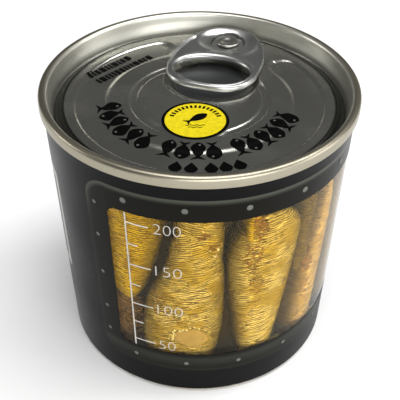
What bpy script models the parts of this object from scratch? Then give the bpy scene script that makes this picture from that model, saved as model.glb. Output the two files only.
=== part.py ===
"""A tin of sprats: a clear tapered cup in a black sleeve with a window, shut by a ring-pull end.

Lengths below are in millimetres and become metres when a mesh is finished. Z is up, the base rests
at Z = 0 and the can's axis is the Z axis. An azimuth counts from -Y, which is the front, towards +X.
"""
import math

import bmesh
import bpy
from mathutils import Matrix, Vector

MM = 0.001
GAP = 0.3
SEGMENTS = 60
STEP_DEG = 360.0 / SEGMENTS

# Can body
CAN_HEIGHT = 71.0
SLEEVE_BOTTOM_Z = 1.2
SLEEVE_TOP_Z = 67.85
FLARE_Z = 65.0
FOOT_RADIUS = 34.4
SHOULDER_RADIUS = 37.03
MOUTH_RADIUS = 37.35
SLEEVE_THICKNESS = 0.3
WALL_THICKNESS = 0.6
FLOOR_Z = 3.4
FLOOR_THICKNESS = 0.8
FLANGE_Z = CAN_HEIGHT - 1.1
FLANGE_OUTER_RADIUS = 37.3
FLANGE_INNER_RADIUS = 36.8
NECK_Z = 68.2
NECK_INNER_RADIUS = 36.3

# Clear window in the sleeve
WINDOW_LEFT = -33.0
WINDOW_RIGHT = 89.0
WINDOW_BOTTOM_Z = 14.5
WINDOW_TOP_Z = 58.3
WINDOW_CORNER = 2.5

# Ring-pull end
SEAM_RADIUS = 38.0
SEAM_HEIGHT = 2.85
HOOK_THICKNESS = 0.4
# Radius and depth under the seam's top, over the crown, down the chuck wall and up to the panel
RIM_SECTION = (
    (38.0, 0.7),
    (37.8, 0.27),
    (37.4, 0.04),
    (37.0, 0.0),
    (36.5, 0.1),
    (36.15, 0.45),
    (35.98, 1.0),
    (35.7, 2.8),
    (35.15, 4.8),
    (34.85, 5.5),
    (34.3, 5.85),
    (33.7, 5.75),
    (33.3, 5.3),
    (33.05, 4.6),
    (32.6, 4.3),
    (31.9, 4.35),
)
# The same for the hidden side, from the panel out to the hook of the seam
UNDERSIDE_SECTION = (
    (32.6, 5.75),
    (33.3, 6.3),
    (34.3, 6.35),
    (35.1, 5.95),
    (35.47, 4.8),
    (36.0, 2.8),
    (36.5, 1.1),
    (36.75, 0.8),
    (37.35, 0.8),
)
PANEL_STEP_RADII = (31.0, 29.9, 28.9, 26.3, 23.7, 22.7, 19.4, 17.1, 16.3, 15.5, 14.7, 11.5, 7.5, 3.5)
RELIEF_REACH = 31.5
PANEL_Z = CAN_HEIGHT - 4.45
PANEL_UNDERSIDE_Z = PANEL_Z - 1.3
BEAD_RADIUS = 15.9
BEAD_HALF_WIDTH = 0.5
BEAD_DEPTH = 0.3
BAND_RADIUS = 26.3
BAND_HALF_WIDTH = 3.1
BAND_DEPTH = 0.45
BAND_GAP_HALF_ANGLE = 39.0
WELL_ALONG = 9.6
WELL_SEMI_ALONG = 11.4
WELL_SEMI_ACROSS = 12.3
WELL_DEPTH = 0.9
WELL_SLOPE_SHARE = 0.2
SLOPE = 0.8

# Pull tab, in its own frame: along runs from the can's axis out to the nose, across is sideways
TAB_ANGLE = 74.5
TAB_BOTTOM_Z = CAN_HEIGHT - 3.85
TAB_TOP_Z = CAN_HEIGHT - 2.15
TAB_CENTRE = 14.5
TAB_NOSE_REACH = 18.9
TAB_RING_REACH = 12.3
TAB_HALF_WIDTH = 11.65
TAB_STATIONS = 48
HOLE_CENTRE = 10.6
HOLE_SEMI_ALONG = 6.75
HOLE_SEMI_ACROSS = 9.65
RIVET_ALONG = 27.0
RIVET_STEM_RADIUS = 1.9
RIVET_HEAD_RADIUS = 2.9
RIVET_HEAD_LOW_Z = PANEL_Z + 1.0
RIVET_HEAD_TOP_Z = PANEL_Z + 1.6
RIVET_SUNK = 0.7
RECESS_ALONG = 25.7
RECESS_REACHES = (5.0, 5.9)
RECESS_HALF_WIDTH = 6.3
RECESS_BLUNTNESS = 2.5
WEB_THICKNESS = 0.45
TONGUE_RADIUS = 4.1
TONGUE_THICKNESS = 0.4
NOTCH_RADIUS = 4.5
HINGE_ALONG = 33.0

# Fish
FISH_BOTTOM_Z = 4.4
FISH_TOP_Z = 61.5
FISH_THICKNESS = 9.5
FISH_SIDES = 10
FISH_STATIONS = 8
CORE_RADIUS = 28.5
CORE_TOP_Z = 57.0
# Azimuth and half width at the lower end, then at the upper end, for each fish round the wall
VISIBLE_FISH = (
    (-34.0, 5.6, -25.0, 8.6),
    (-7.5, 9.3, -1.5, 6.1),
    (23.0, 5.2, 26.0, 8.9),
    (49.0, 8.8, 57.5, 5.0),
    (75.0, 6.0, 79.0, 8.4),
)
HIDDEN_FISH_FROM = 104.0
HIDDEN_FISH_TO = 300.0
HIDDEN_FISH_COUNT = 8


def clear_scene():
    for thing in list(bpy.data.objects):
        bpy.data.objects.remove(thing, do_unlink=True)


def make_material(name, colour, roughness, metallic=0.0, alpha=1.0):
    material = bpy.data.materials.new(name)
    material.use_nodes = True
    shader = material.node_tree.nodes["Principled BSDF"]
    shader.inputs["Base Color"].default_value = (*colour, 1.0)
    shader.inputs["Roughness"].default_value = roughness
    shader.inputs["Metallic"].default_value = metallic
    shader.inputs["Alpha"].default_value = alpha
    return material


def make_object(name, bm, material=None, sharp_deg=35.0):
    """Turn a bmesh in millimetres into an object in metres, with its faces pointing out."""
    bmesh.ops.remove_doubles(bm, verts=bm.verts, dist=0.001)
    bmesh.ops.recalc_face_normals(bm, faces=bm.faces)
    bmesh.ops.scale(bm, vec=(MM, MM, MM), verts=bm.verts)
    mesh = bpy.data.meshes.new(name)
    bm.to_mesh(mesh)
    bm.free()
    if material is not None:
        mesh.materials.append(material)
    mesh.shade_smooth()
    mesh.set_sharp_from_angle(angle=math.radians(sharp_deg))
    thing = bpy.data.objects.new(name, mesh)
    bpy.context.scene.collection.objects.link(thing)
    return thing


def apply_boolean(target, operand, operation):
    """Join or cut target with an object or a collection, keep the result and drop what did it."""
    modifier = target.modifiers.new(operation.lower(), "BOOLEAN")
    modifier.operation = operation
    modifier.solver = "EXACT"
    if isinstance(operand, bpy.types.Collection):
        modifier.operand_type = "COLLECTION"
        modifier.collection = operand
        used = list(operand.objects)
    else:
        modifier.object = operand
        used = [operand]
    bpy.context.view_layer.update()
    evaluated = target.evaluated_get(bpy.context.evaluated_depsgraph_get())
    mesh = bpy.data.meshes.new_from_object(evaluated)
    target.modifiers.clear()
    target.data = mesh
    mesh.shade_smooth()
    mesh.set_sharp_from_angle(angle=math.radians(35.0))
    for thing in used:
        bpy.data.objects.remove(thing, do_unlink=True)


def polar(radius, azimuth_deg, z):
    azimuth = math.radians(azimuth_deg)
    return Vector((radius * math.sin(azimuth), -radius * math.cos(azimuth), z))


def tab_point(along, across, z):
    """Place a point of the tab's own frame on the can."""
    angle = math.radians(TAB_ANGLE)
    x = along * math.cos(angle) + across * math.sin(angle)
    y = along * math.sin(angle) - across * math.cos(angle)
    return Vector((x, y, z))


def smoothstep(t):
    t = min(max(t, 0.0), 1.0)
    return t * t * (3.0 - 2.0 * t)


def turned(profile, closed):
    """Spin a profile of (radius, z) about Z. A closed profile is a ring's section."""
    bm = bmesh.new()
    verts = [bm.verts.new(polar(radius, 0.0, z)) for radius, z in profile]
    pairs = list(zip(verts, verts[1:]))
    if closed:
        pairs.append((verts[-1], verts[0]))
    edges = [bm.edges.new(pair) for pair in pairs]
    bmesh.ops.spin(
        bm, geom=verts + edges, cent=(0, 0, 0), axis=(0, 0, 1),
        angle=math.tau, steps=SEGMENTS, use_merge=True,
    )
    bmesh.ops.remove_doubles(bm, verts=bm.verts, dist=0.001)
    return bm


def loft(rings, closed=False):
    """Bridge rings of points that have equal counts. An open loft gets its two ends filled."""
    bm = bmesh.new()
    loops = [[bm.verts.new(point) for point in ring] for ring in rings]
    spans = list(zip(loops, loops[1:]))
    if closed:
        spans.append((loops[-1], loops[0]))
    for near, far in spans:
        count = len(near)
        for index in range(count):
            after = (index + 1) % count
            bm.faces.new((near[index], near[after], far[after], far[index]))
    if not closed:
        bm.faces.new(loops[0])
        bm.faces.new(list(reversed(loops[-1])))
    return bm


def sleeve_radius(z):
    """Outer radius of the sleeve, which tapers to the foot and flares under the seam."""
    if z > FLARE_Z:
        share = (z - FLARE_Z) / (SLEEVE_TOP_Z - FLARE_Z)
        return SHOULDER_RADIUS + share * (MOUTH_RADIUS - SHOULDER_RADIUS)
    return FOOT_RADIUS + (SHOULDER_RADIUS - FOOT_RADIUS) * z / FLARE_Z


def wall_outer_radius(z):
    return sleeve_radius(z) - SLEEVE_THICKNESS - GAP


def wall_inner_radius(z):
    return wall_outer_radius(z) - WALL_THICKNESS


def window_stations(margin):
    """Azimuth, lower z and upper z round the window, with rounded corners, drawn in by margin."""
    radius = sleeve_radius((WINDOW_BOTTOM_Z + WINDOW_TOP_Z) / 2)
    degrees_per_mm = math.degrees(1.0 / radius)
    left = WINDOW_LEFT + margin * degrees_per_mm
    right = WINDOW_RIGHT - margin * degrees_per_mm
    corner_deg = WINDOW_CORNER * degrees_per_mm
    low = WINDOW_BOTTOM_Z + margin
    high = WINDOW_TOP_Z - margin
    stations = []
    for turn in (0.0, 30.0, 60.0, 90.0):
        inset = WINDOW_CORNER * (1.0 - math.sin(math.radians(turn)))
        away = corner_deg * (1.0 - math.cos(math.radians(turn)))
        stations.append((left + away, low + inset, high - inset))
    first = math.ceil((left + corner_deg + 1.0) / STEP_DEG)
    last = math.floor((right - corner_deg - 1.0) / STEP_DEG)
    stations += [(step * STEP_DEG, low, high) for step in range(first, last + 1)]
    for turn in (90.0, 60.0, 30.0, 0.0):
        inset = WINDOW_CORNER * (1.0 - math.sin(math.radians(turn)))
        away = corner_deg * (1.0 - math.cos(math.radians(turn)))
        stations.append((right - away, low + inset, high - inset))
    return stations


def window_block(name, margin, inner_radius, outer_radius):
    """A curved block with the window's outline, between two radii given as functions of z."""
    rings = []
    for azimuth, low, high in window_stations(margin):
        rings.append([
            polar(outer_radius(low), azimuth, low),
            polar(outer_radius(high), azimuth, high),
            polar(inner_radius(high), azimuth, high),
            polar(inner_radius(low), azimuth, low),
        ])
    return make_object(name, loft(rings))


def build_wall(material):
    """The clear moulded cup: a foot ring, a raised floor, a tapered wall and a flange at the mouth."""
    outside = [
        (FLANGE_OUTER_RADIUS, FLANGE_Z),
        (wall_outer_radius(NECK_Z), NECK_Z),
        (wall_outer_radius(FLARE_Z), FLARE_Z),
        (wall_outer_radius(1.05), 1.05),
        (FOOT_RADIUS - 0.05, 0.75),
        (FOOT_RADIUS - 0.8, 0.2),
        (FOOT_RADIUS - 2.1, 0.0),
        (FOOT_RADIUS - 3.4, 0.0),
        (FOOT_RADIUS - 4.1, FLOOR_Z - FLOOR_THICKNESS),
        (0.0, FLOOR_Z - FLOOR_THICKNESS),
    ]
    inside = [
        (0.0, FLOOR_Z),
        (FOOT_RADIUS - 3.5, FLOOR_Z),
        (FOOT_RADIUS - 2.6, 1.0),
        (FOOT_RADIUS - 1.6, 1.0),
        (wall_inner_radius(1.8), 1.8),
        (wall_inner_radius(FLARE_Z), FLARE_Z),
        (NECK_INNER_RADIUS, NECK_Z),
        (FLANGE_INNER_RADIUS, FLANGE_Z),
    ]
    wall = make_object("can_wall", turned(outside + inside, closed=True), material)
    pad = window_block(
        "window_pad", GAP, lambda z: wall_outer_radius(z) - WALL_THICKNESS / 2, sleeve_radius
    )
    apply_boolean(wall, pad, "UNION")
    return wall


def build_sleeve(material):
    """The thin printed skin that covers the cup from foot to seam, cut open at the window."""
    heights = (SLEEVE_TOP_Z, FLARE_Z, SLEEVE_BOTTOM_Z)
    outside = [(sleeve_radius(z), z) for z in heights]
    inside = [(sleeve_radius(z) - SLEEVE_THICKNESS, z) for z in reversed(heights)]
    sleeve = make_object("label", turned(outside + inside, closed=True), material)
    cutter = window_block("window_cutter", 0.0, lambda z: FOOT_RADIUS - 3.0, lambda z: SEAM_RADIUS + 2.0)
    apply_boolean(sleeve, cutter, "DIFFERENCE")
    return sleeve


def panel_relief(x, y):
    """Height of the pressed shapes, all below the panel's plane: a bead, a C-shaped band and a finger well."""
    radius = math.hypot(x, y)
    angle = math.degrees(math.atan2(y, x))
    off_tab = (angle - TAB_ANGLE + 180.0) % 360.0 - 180.0
    bead = BEAD_DEPTH * smoothstep(1.0 - (abs(radius - BEAD_RADIUS) - BEAD_HALF_WIDTH) / SLOPE)
    if abs(off_tab) > BAND_GAP_HALF_ANGLE:
        distance = abs(radius - BAND_RADIUS)
    else:
        end_angle = math.radians(TAB_ANGLE + math.copysign(BAND_GAP_HALF_ANGLE, off_tab))
        distance = math.hypot(
            x - BAND_RADIUS * math.cos(end_angle), y - BAND_RADIUS * math.sin(end_angle)
        )
    band = BAND_DEPTH * smoothstep(1.0 - (distance - BAND_HALF_WIDTH) / SLOPE)
    tab = math.radians(TAB_ANGLE)
    along = x * math.cos(tab) + y * math.sin(tab) - WELL_ALONG
    across = x * math.sin(tab) - y * math.cos(tab)
    reach = math.hypot(along / WELL_SEMI_ALONG, across / WELL_SEMI_ACROSS)
    inside_well = smoothstep((1.0 - reach) / WELL_SLOPE_SHARE)
    return -max(bead, band) * (1.0 - inside_well) - WELL_DEPTH * inside_well


def build_lid(material):
    """The end: seam, chuck wall, countersink and pressed panel, in one piece with the rivet."""
    seam_bottom = CAN_HEIGHT - SEAM_HEIGHT
    seam_edge = [
        (SEAM_RADIUS - HOOK_THICKNESS, seam_bottom),
        (SEAM_RADIUS - 0.1, seam_bottom),
        (SEAM_RADIUS, seam_bottom + 0.3),
    ]
    rim = [(radius, CAN_HEIGHT - depth) for radius, depth in RIM_SECTION]
    panel = [(radius, PANEL_Z) for radius in PANEL_STEP_RADII]
    middle = [(0.0, PANEL_Z), (0.0, PANEL_UNDERSIDE_Z)]
    underside = [(radius, CAN_HEIGHT - depth) for radius, depth in UNDERSIDE_SECTION]
    hook = [(SEAM_RADIUS - HOOK_THICKNESS, CAN_HEIGHT - 1.05)]
    bm = turned(seam_edge + rim + panel + middle + underside + hook, closed=True)
    for vert in bm.verts:
        on_panel = abs(vert.co.z - PANEL_Z) < 0.01 and math.hypot(vert.co.x, vert.co.y) < RELIEF_REACH
        if on_panel:
            vert.co.z += panel_relief(vert.co.x, vert.co.y)
    lid = make_object("lid", bm, material)
    rivet = make_object("rivet", build_rivet())
    apply_boolean(lid, rivet, "UNION")
    return lid


def build_rivet():
    """The hollow button drawn up out of the panel, which holds the tab's tongue."""
    profile = [
        (0.0, PANEL_Z - RIVET_SUNK),
        (RIVET_STEM_RADIUS, PANEL_Z - RIVET_SUNK),
        (RIVET_STEM_RADIUS, RIVET_HEAD_LOW_Z),
        (RIVET_HEAD_RADIUS - 0.2, RIVET_HEAD_LOW_Z),
        (RIVET_HEAD_RADIUS, RIVET_HEAD_LOW_Z + 0.2),
        (RIVET_HEAD_RADIUS - 0.3, RIVET_HEAD_TOP_Z - 0.05),
        (RIVET_STEM_RADIUS, RIVET_HEAD_TOP_Z),
        (RIVET_STEM_RADIUS - 0.5, RIVET_HEAD_TOP_Z - 0.4),
        (0.0, RIVET_HEAD_TOP_Z - 0.45),
    ]
    bm = disc_of_revolution(profile, 20)
    bmesh.ops.translate(bm, vec=tab_point(RIVET_ALONG, 0.0, 0.0), verts=bm.verts)
    return bm


def disc_of_revolution(profile, steps):
    """Spin an open profile, whose two ends are on the Z axis, in a given number of steps."""
    bm = bmesh.new()
    verts = [bm.verts.new((radius, 0.0, z)) for radius, z in profile]
    edges = [bm.edges.new(pair) for pair in zip(verts, verts[1:])]
    bmesh.ops.spin(
        bm, geom=verts + edges, cent=(0, 0, 0), axis=(0, 0, 1),
        angle=math.tau, steps=steps, use_merge=True,
    )
    bmesh.ops.remove_doubles(bm, verts=bm.verts, dist=0.001)
    return bm


def power(value, exponent):
    return math.copysign(abs(value) ** exponent, value)


def tab_outline(angle):
    """The tab's egg-shaped outline, blunt at the ring and narrower at the nose."""
    reach = TAB_NOSE_REACH if math.cos(angle) > 0 else TAB_RING_REACH
    bluntness = 2.1 if math.cos(angle) > 0 else 2.8
    along = TAB_CENTRE + reach * power(math.cos(angle), 2.0 / bluntness)
    across = TAB_HALF_WIDTH * power(math.sin(angle), 2.0 / bluntness)
    return Vector((along, across))


def tab_hole(angle):
    return Vector((HOLE_CENTRE + HOLE_SEMI_ALONG * math.cos(angle), HOLE_SEMI_ACROSS * math.sin(angle)))


def tab_section(width):
    """Section from the outline, at 0, to the finger hole, at width: two curled edges and a web."""
    drop = 0.4 * smoothstep((width - 3.0) / 2.0)
    height = TAB_TOP_Z - TAB_BOTTOM_Z
    spare = max(width - 3.4, 0.0)
    middle = width / 2
    return [
        (0.35, TAB_BOTTOM_Z),
        (0.0, TAB_BOTTOM_Z + 0.45 * height),
        (0.3, TAB_TOP_Z - 0.25),
        (min(0.9, 0.45 * width), TAB_TOP_Z),
        (min(1.7, middle - 0.02) if spare else middle - 0.05, TAB_TOP_Z - drop),
        (max(width - 1.3, middle + 0.02) if spare else middle + 0.05, TAB_TOP_Z - drop),
        (width - min(0.75, 0.4 * width), TAB_TOP_Z),
        (width - 0.2, TAB_TOP_Z - 0.3),
        (width, TAB_BOTTOM_Z + 0.4 * height),
        (width - 0.35, TAB_BOTTOM_Z),
    ]


def tab_disc(name, along, radii_along, half_width, low, high, bluntness=2.0, count=28):
    """An upright prism on the tab's axis, with a rounded outline. radii_along is ring side, nose side."""
    ring = []
    for index in range(count):
        angle = math.tau * index / count
        reach = radii_along[1] if math.cos(angle) > 0 else radii_along[0]
        ring.append((
            along + reach * power(math.cos(angle), 2.0 / bluntness),
            half_width * power(math.sin(angle), 2.0 / bluntness),
        ))
    return make_object(name, loft([[tab_point(a, b, z) for a, b in ring] for z in (low, high)]))


def build_tab(material):
    """The ring and nose of the pull tab. Its origin is on the line where the nose tips over."""
    rings = []
    for index in range(TAB_STATIONS):
        angle = math.tau * (index + 0.5) / TAB_STATIONS
        outer = tab_outline(angle)
        inner = tab_hole(angle)
        width = (inner - outer).length
        way = (inner - outer) / width
        ring = []
        for distance, z in tab_section(width):
            place = outer + way * distance
            ring.append(tab_point(place.x, place.y, z))
        rings.append(ring)
    tab = make_object("pull_tab", loft(rings, closed=True), material)
    web_top = TAB_BOTTOM_Z + WEB_THICKNESS
    recess = tab_disc(
        "recess", RECESS_ALONG, RECESS_REACHES, RECESS_HALF_WIDTH, web_top, TAB_TOP_Z + 1.0, RECESS_BLUNTNESS
    )
    apply_boolean(tab, recess, "DIFFERENCE")
    notch_reach = (NOTCH_RADIUS, NOTCH_RADIUS)
    notch = tab_disc("notch", RIVET_ALONG, notch_reach, NOTCH_RADIUS, TAB_BOTTOM_Z - 1.0, TAB_TOP_Z)
    apply_boolean(tab, notch, "DIFFERENCE")
    hinge = tab_point(HINGE_ALONG, 0.0, TAB_BOTTOM_Z) * MM
    tab.data.transform(Matrix.Translation(-hinge))
    tab.location = hinge
    return tab


def build_tongue(material):
    """The round tongue that stays under the rivet's head when the ring is lifted."""
    low = PANEL_Z + GAP
    high = low + TONGUE_THICKNESS
    hole = RIVET_STEM_RADIUS + GAP
    profile = [(hole, low), (TONGUE_RADIUS, low), (TONGUE_RADIUS, high), (hole, high)]
    bm = bmesh.new()
    verts = [bm.verts.new((radius, 0.0, z)) for radius, z in profile]
    edges = [bm.edges.new((verts[i], verts[(i + 1) % 4])) for i in range(4)]
    bmesh.ops.spin(
        bm, geom=verts + edges, cent=(0, 0, 0), axis=(0, 0, 1), angle=math.tau, steps=24, use_merge=True
    )
    bmesh.ops.translate(bm, vec=tab_point(RIVET_ALONG, 0.0, 0.0), verts=bm.verts)
    return make_object("tab_tongue", bm, material)


def fish_body(low_azimuth, low_half_width, high_azimuth, high_half_width):
    """One upright beheaded sprat, flat side to the wall, wider at its shoulder than at its tail."""
    rings = []
    for station in range(FISH_STATIONS + 1):
        share = station / FISH_STATIONS
        z = FISH_BOTTOM_Z + share * (FISH_TOP_Z - FISH_BOTTOM_Z)
        azimuth = low_azimuth + share * (high_azimuth - low_azimuth)
        blend = smoothstep(share)
        half_width = low_half_width + blend * (high_half_width - low_half_width)
        rounding = min(share, 1.0 - share) * FISH_STATIONS
        end = math.sqrt(min(1.0, 0.35 + 0.65 * rounding))
        half_width *= end
        outer = wall_inner_radius(z) - GAP
        centre = outer - FISH_THICKNESS / 2
        half_thick = FISH_THICKNESS / 2 * end
        ring = []
        for side in range(FISH_SIDES):
            turn = math.tau * side / FISH_SIDES
            sideways = half_width * power(math.sin(turn), 0.8)
            radius = centre + half_thick * power(math.cos(turn), 0.8)
            ring.append(polar(radius, azimuth + math.degrees(sideways / outer), z))
        rings.append(ring)
    return loft(rings)


def fish_places():
    """The fish seen through the window, then alternating heads and tails round the hidden side."""
    places = list(VISIBLE_FISH)
    pitch = (HIDDEN_FISH_TO - HIDDEN_FISH_FROM) / (HIDDEN_FISH_COUNT - 1)
    for index in range(HIDDEN_FISH_COUNT):
        azimuth = HIDDEN_FISH_FROM + index * pitch
        widths = (8.8, 6.0) if index % 2 == 0 else (6.0, 8.8)
        places.append((azimuth, widths[0], azimuth, widths[1]))
    return places


def build_sprats(material):
    """The packed fish as one heap: a plain core with the outer fish fused on."""
    core_profile = [
        (CORE_RADIUS - 2.0, CORE_TOP_Z),
        (CORE_RADIUS, CORE_TOP_Z - 3.0),
        (CORE_RADIUS, FISH_BOTTOM_Z + 2.0),
        (CORE_RADIUS - 1.0, FISH_BOTTOM_Z),
    ]
    middle_top = (0.0, CORE_TOP_Z + 1.0)
    middle_bottom = (0.0, FISH_BOTTOM_Z)
    bm = disc_of_revolution([middle_top] + core_profile + [middle_bottom], 36)
    heap = make_object("sprats", bm, material)
    outer_fish = bpy.data.collections.new("outer_fish")
    bpy.context.scene.collection.children.link(outer_fish)
    for index, place in enumerate(fish_places()):
        fish = make_object("fish_%02d" % index, fish_body(*place))
        bpy.context.scene.collection.objects.unlink(fish)
        outer_fish.objects.link(fish)
    apply_boolean(heap, outer_fish, "UNION")
    bpy.data.collections.remove(outer_fish)
    return heap


def main():
    clear_scene()
    clear_plastic = make_material("clear_plastic", (0.85, 0.85, 0.8), 0.08, alpha=0.3)
    black_print = make_material("black_print", (0.02, 0.02, 0.022), 0.3)
    tinplate = make_material("tinplate", (0.45, 0.45, 0.41), 0.28, metallic=1.0)
    tab_metal = make_material("tab_metal", (0.5, 0.5, 0.49), 0.2, metallic=1.0)
    fish_skin = make_material("fish_skin", (0.62, 0.42, 0.1), 0.35)
    build_wall(clear_plastic)
    build_sleeve(black_print)
    build_lid(tinplate)
    build_tab(tab_metal)
    build_tongue(tab_metal)
    build_sprats(fish_skin)


main()
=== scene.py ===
# %% [markdown]
# # A tin of sprats with a window
#
# The real object is a clear moulded can, black all round except for one long window. A steel end
# with a pull tab is seamed on top, and smoked fish stand upright in oil behind the window.
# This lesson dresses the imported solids: each cell makes one piece or one finish, says why it is made
# that way, and prints what it made. Lengths are in millimetres until a mesh is finished.

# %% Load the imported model
import math
import random

import bmesh
import bpy
from mathutils import Matrix, Vector, noise


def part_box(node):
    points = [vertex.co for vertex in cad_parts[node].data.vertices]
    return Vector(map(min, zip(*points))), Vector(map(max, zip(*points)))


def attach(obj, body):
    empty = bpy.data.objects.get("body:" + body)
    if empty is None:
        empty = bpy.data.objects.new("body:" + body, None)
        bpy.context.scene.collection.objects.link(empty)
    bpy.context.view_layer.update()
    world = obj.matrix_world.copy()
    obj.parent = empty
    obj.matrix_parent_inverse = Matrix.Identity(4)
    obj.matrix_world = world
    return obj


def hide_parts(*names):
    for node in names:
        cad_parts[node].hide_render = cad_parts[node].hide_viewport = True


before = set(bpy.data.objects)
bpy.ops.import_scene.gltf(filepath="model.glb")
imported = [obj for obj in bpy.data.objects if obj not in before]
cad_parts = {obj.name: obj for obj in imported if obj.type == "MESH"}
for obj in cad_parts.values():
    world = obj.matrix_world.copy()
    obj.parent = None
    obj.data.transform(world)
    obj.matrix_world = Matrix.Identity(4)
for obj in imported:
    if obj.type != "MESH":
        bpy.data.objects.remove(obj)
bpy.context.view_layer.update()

MM = 0.001

# %% [markdown]
# The photograph was taken from the front and well above, with a long lens. The camera sits on a
# sphere round a point near the can's middle, and is rolled by half a degree. The lens is in the
# camera's own millimetres, for a sensor 36 mm wide.

# %% Camera
CAMERA_DISTANCE = 221.7
CAMERA_ELEVATION = math.radians(38.53)
CAMERA_ROLL = math.radians(0.52)
CAMERA_TARGET = Vector((0.3, 0.0, 35.3))
CAMERA_LENS = 75.98

optics = bpy.data.cameras.new("camera")
optics.lens = CAMERA_LENS
optics.sensor_width = 36.0
optics.clip_start, optics.clip_end = 0.01, 10.0
camera = bpy.data.objects.new("camera", optics)
bpy.context.scene.collection.objects.link(camera)
bpy.context.scene.camera = camera
camera_back = Vector((0.0, -math.cos(CAMERA_ELEVATION), math.sin(CAMERA_ELEVATION)))
camera.matrix_world = (
    Matrix.Translation((CAMERA_TARGET + camera_back * CAMERA_DISTANCE) * MM)
    @ camera_back.to_track_quat("Z", "Y").to_matrix().to_4x4()
    @ Matrix.Rotation(CAMERA_ROLL, 4, "Z")
)
print("camera at", [round(x, 4) for x in camera.matrix_world.translation])

# %% [markdown]
# Every piece below goes through the same few steps: it is shaped in a bmesh in millimetres, turned
# into metres, given one finish, and tied to the body that carries it. These helpers hold those
# steps. An azimuth counts in degrees from the front, which is -Y, towards +X.

# %% Helpers for places and finished pieces
SAME_PLACE = 0.0005


def polar(radius, azimuth, z):
    angle = math.radians(azimuth)
    return Vector((radius * math.sin(angle), -radius * math.cos(angle), z))


def smoothstep(t):
    t = min(max(t, 0.0), 1.0)
    return t * t * (3.0 - 2.0 * t)


def smoothed(mesh, sharp):
    mesh.shade_smooth()
    mesh.set_sharp_from_angle(angle=math.radians(sharp))


def shaped(name, bm, finish, sharp=40.0):
    """An object in metres, with outward faces, smooth shading and one finish."""
    bmesh.ops.remove_doubles(bm, verts=bm.verts, dist=SAME_PLACE)
    bmesh.ops.recalc_face_normals(bm, faces=bm.faces)
    bmesh.ops.scale(bm, vec=(MM, MM, MM), verts=bm.verts)
    mesh = bpy.data.meshes.new(name)
    bm.to_mesh(mesh)
    bm.free()
    mesh.materials.append(finish.material)
    smoothed(mesh, sharp)
    thing = bpy.data.objects.new(name, mesh)
    bpy.context.scene.collection.objects.link(thing)
    return thing


def carried(thing, replaced=None, body="can"):
    """Tie a piece to its body, hide the solid that it stands for, and print what it made."""
    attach(thing, body)
    if replaced:
        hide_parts(replaced)
    print(thing.name, "has", len(thing.data.polygons), "faces and rides on", body)


def turned(profile, steps, closed=True):
    """Spin a profile of (radius, z) about the can's axis."""
    bm = bmesh.new()
    verts = [bm.verts.new(polar(radius, 0.0, z)) for radius, z in profile]
    edges = [bm.edges.new(pair) for pair in zip(verts, verts[1:])]
    if closed:
        edges.append(bm.edges.new((verts[-1], verts[0])))
    bmesh.ops.spin(
        bm, geom=verts + edges, cent=(0, 0, 0), axis=(0, 0, 1),
        angle=math.tau, steps=steps, use_merge=True,
    )
    bmesh.ops.remove_doubles(bm, verts=bm.verts, dist=SAME_PLACE)
    return bm


def arc_points(centre, radii, start, stop, count):
    """Points on part of an ellipse of a section, by angle in degrees from straight outward."""
    angles = [math.radians(start + (stop - start) * index / count) for index in range(count + 1)]
    return [(centre[0] + radii[0] * math.cos(a), centre[1] + radii[1] * math.sin(a)) for a in angles]


def worked_out(thing):
    """The mesh of an object with its modifiers applied, or its letters made solid."""
    bpy.context.view_layer.update()
    return bpy.data.meshes.new_from_object(thing.evaluated_get(bpy.context.evaluated_depsgraph_get()))


def cut(target, cutter):
    """Cut one object with another, and drop the cutter."""
    modifier = target.modifiers.new("cut", "BOOLEAN")
    modifier.operation = "DIFFERENCE"
    modifier.solver = "EXACT"
    modifier.object = cutter
    mesh = worked_out(target)
    target.modifiers.clear()
    target.data = mesh
    smoothed(mesh, 40.0)
    bpy.data.objects.remove(cutter, do_unlink=True)
    return target


print("helpers ready")

# %% [markdown]
# Materials are node trees. A few short helpers keep each one readable: one fills a socket with a
# number, a colour or another node's output, and the rest each add one kind of node and hand back its
# output. A finish holds one material with its shader. Effects that several finishes share become
# node groups, written as a function from a group's inputs to its outputs.

# %% Helpers for materials


def fill(socket, value):
    if isinstance(value, bpy.types.NodeSocket):
        socket.id_data.links.new(value, socket)
    else:
        socket.default_value = (*value, 1.0) if socket.type == "RGBA" else value


def add_node(tree, kind, sockets=None, **settings):
    """Add a node, set its properties, then fill its sockets by name or number."""
    node = tree.nodes.new(kind)
    for name, value in settings.items():
        setattr(node, name, value)
    for name, value in (sockets or {}).items():
        fill(node.inputs[name], value)
    return node


def calc(operation, *values, clamp=False):
    """The output of a Math node, from numbers and at least one other output."""
    tree = next(value.id_data for value in values if isinstance(value, bpy.types.NodeSocket))
    sockets = dict(enumerate(values))
    return add_node(tree, "ShaderNodeMath", sockets, operation=operation, use_clamp=clamp).outputs[0]


def times(first, second):
    return calc("MULTIPLY", first, second)


def ramp(value, low, high, low_to=0.0, high_to=1.0, kind="SMOOTHSTEP"):
    """Map low..high to low_to..high_to, eased at both ends unless the kind is LINEAR."""
    sockets = {"Value": value, "From Min": low, "From Max": high, "To Min": low_to, "To Max": high_to}
    return add_node(value.id_data, "ShaderNodeMapRange", sockets, interpolation_type=kind).outputs["Result"]


def mix(factor, first, second):
    """Blend two colours by a factor output."""
    sockets = {"Factor": factor, 6: first, 7: second}
    return add_node(factor.id_data, "ShaderNodeMix", sockets, data_type="RGBA").outputs[2]


def grain(place, scale, detail=2.0, roughness=0.5, distortion=0.0):
    """Noise, from 0 to 1. A scale of 1000 has grains about a millimetre across."""
    sockets = {
        "Vector": place, "Scale": scale, "Detail": detail, "Roughness": roughness, "Distortion": distortion,
    }
    return add_node(place.id_data, "ShaderNodeTexNoise", sockets).outputs["Fac"]


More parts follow.
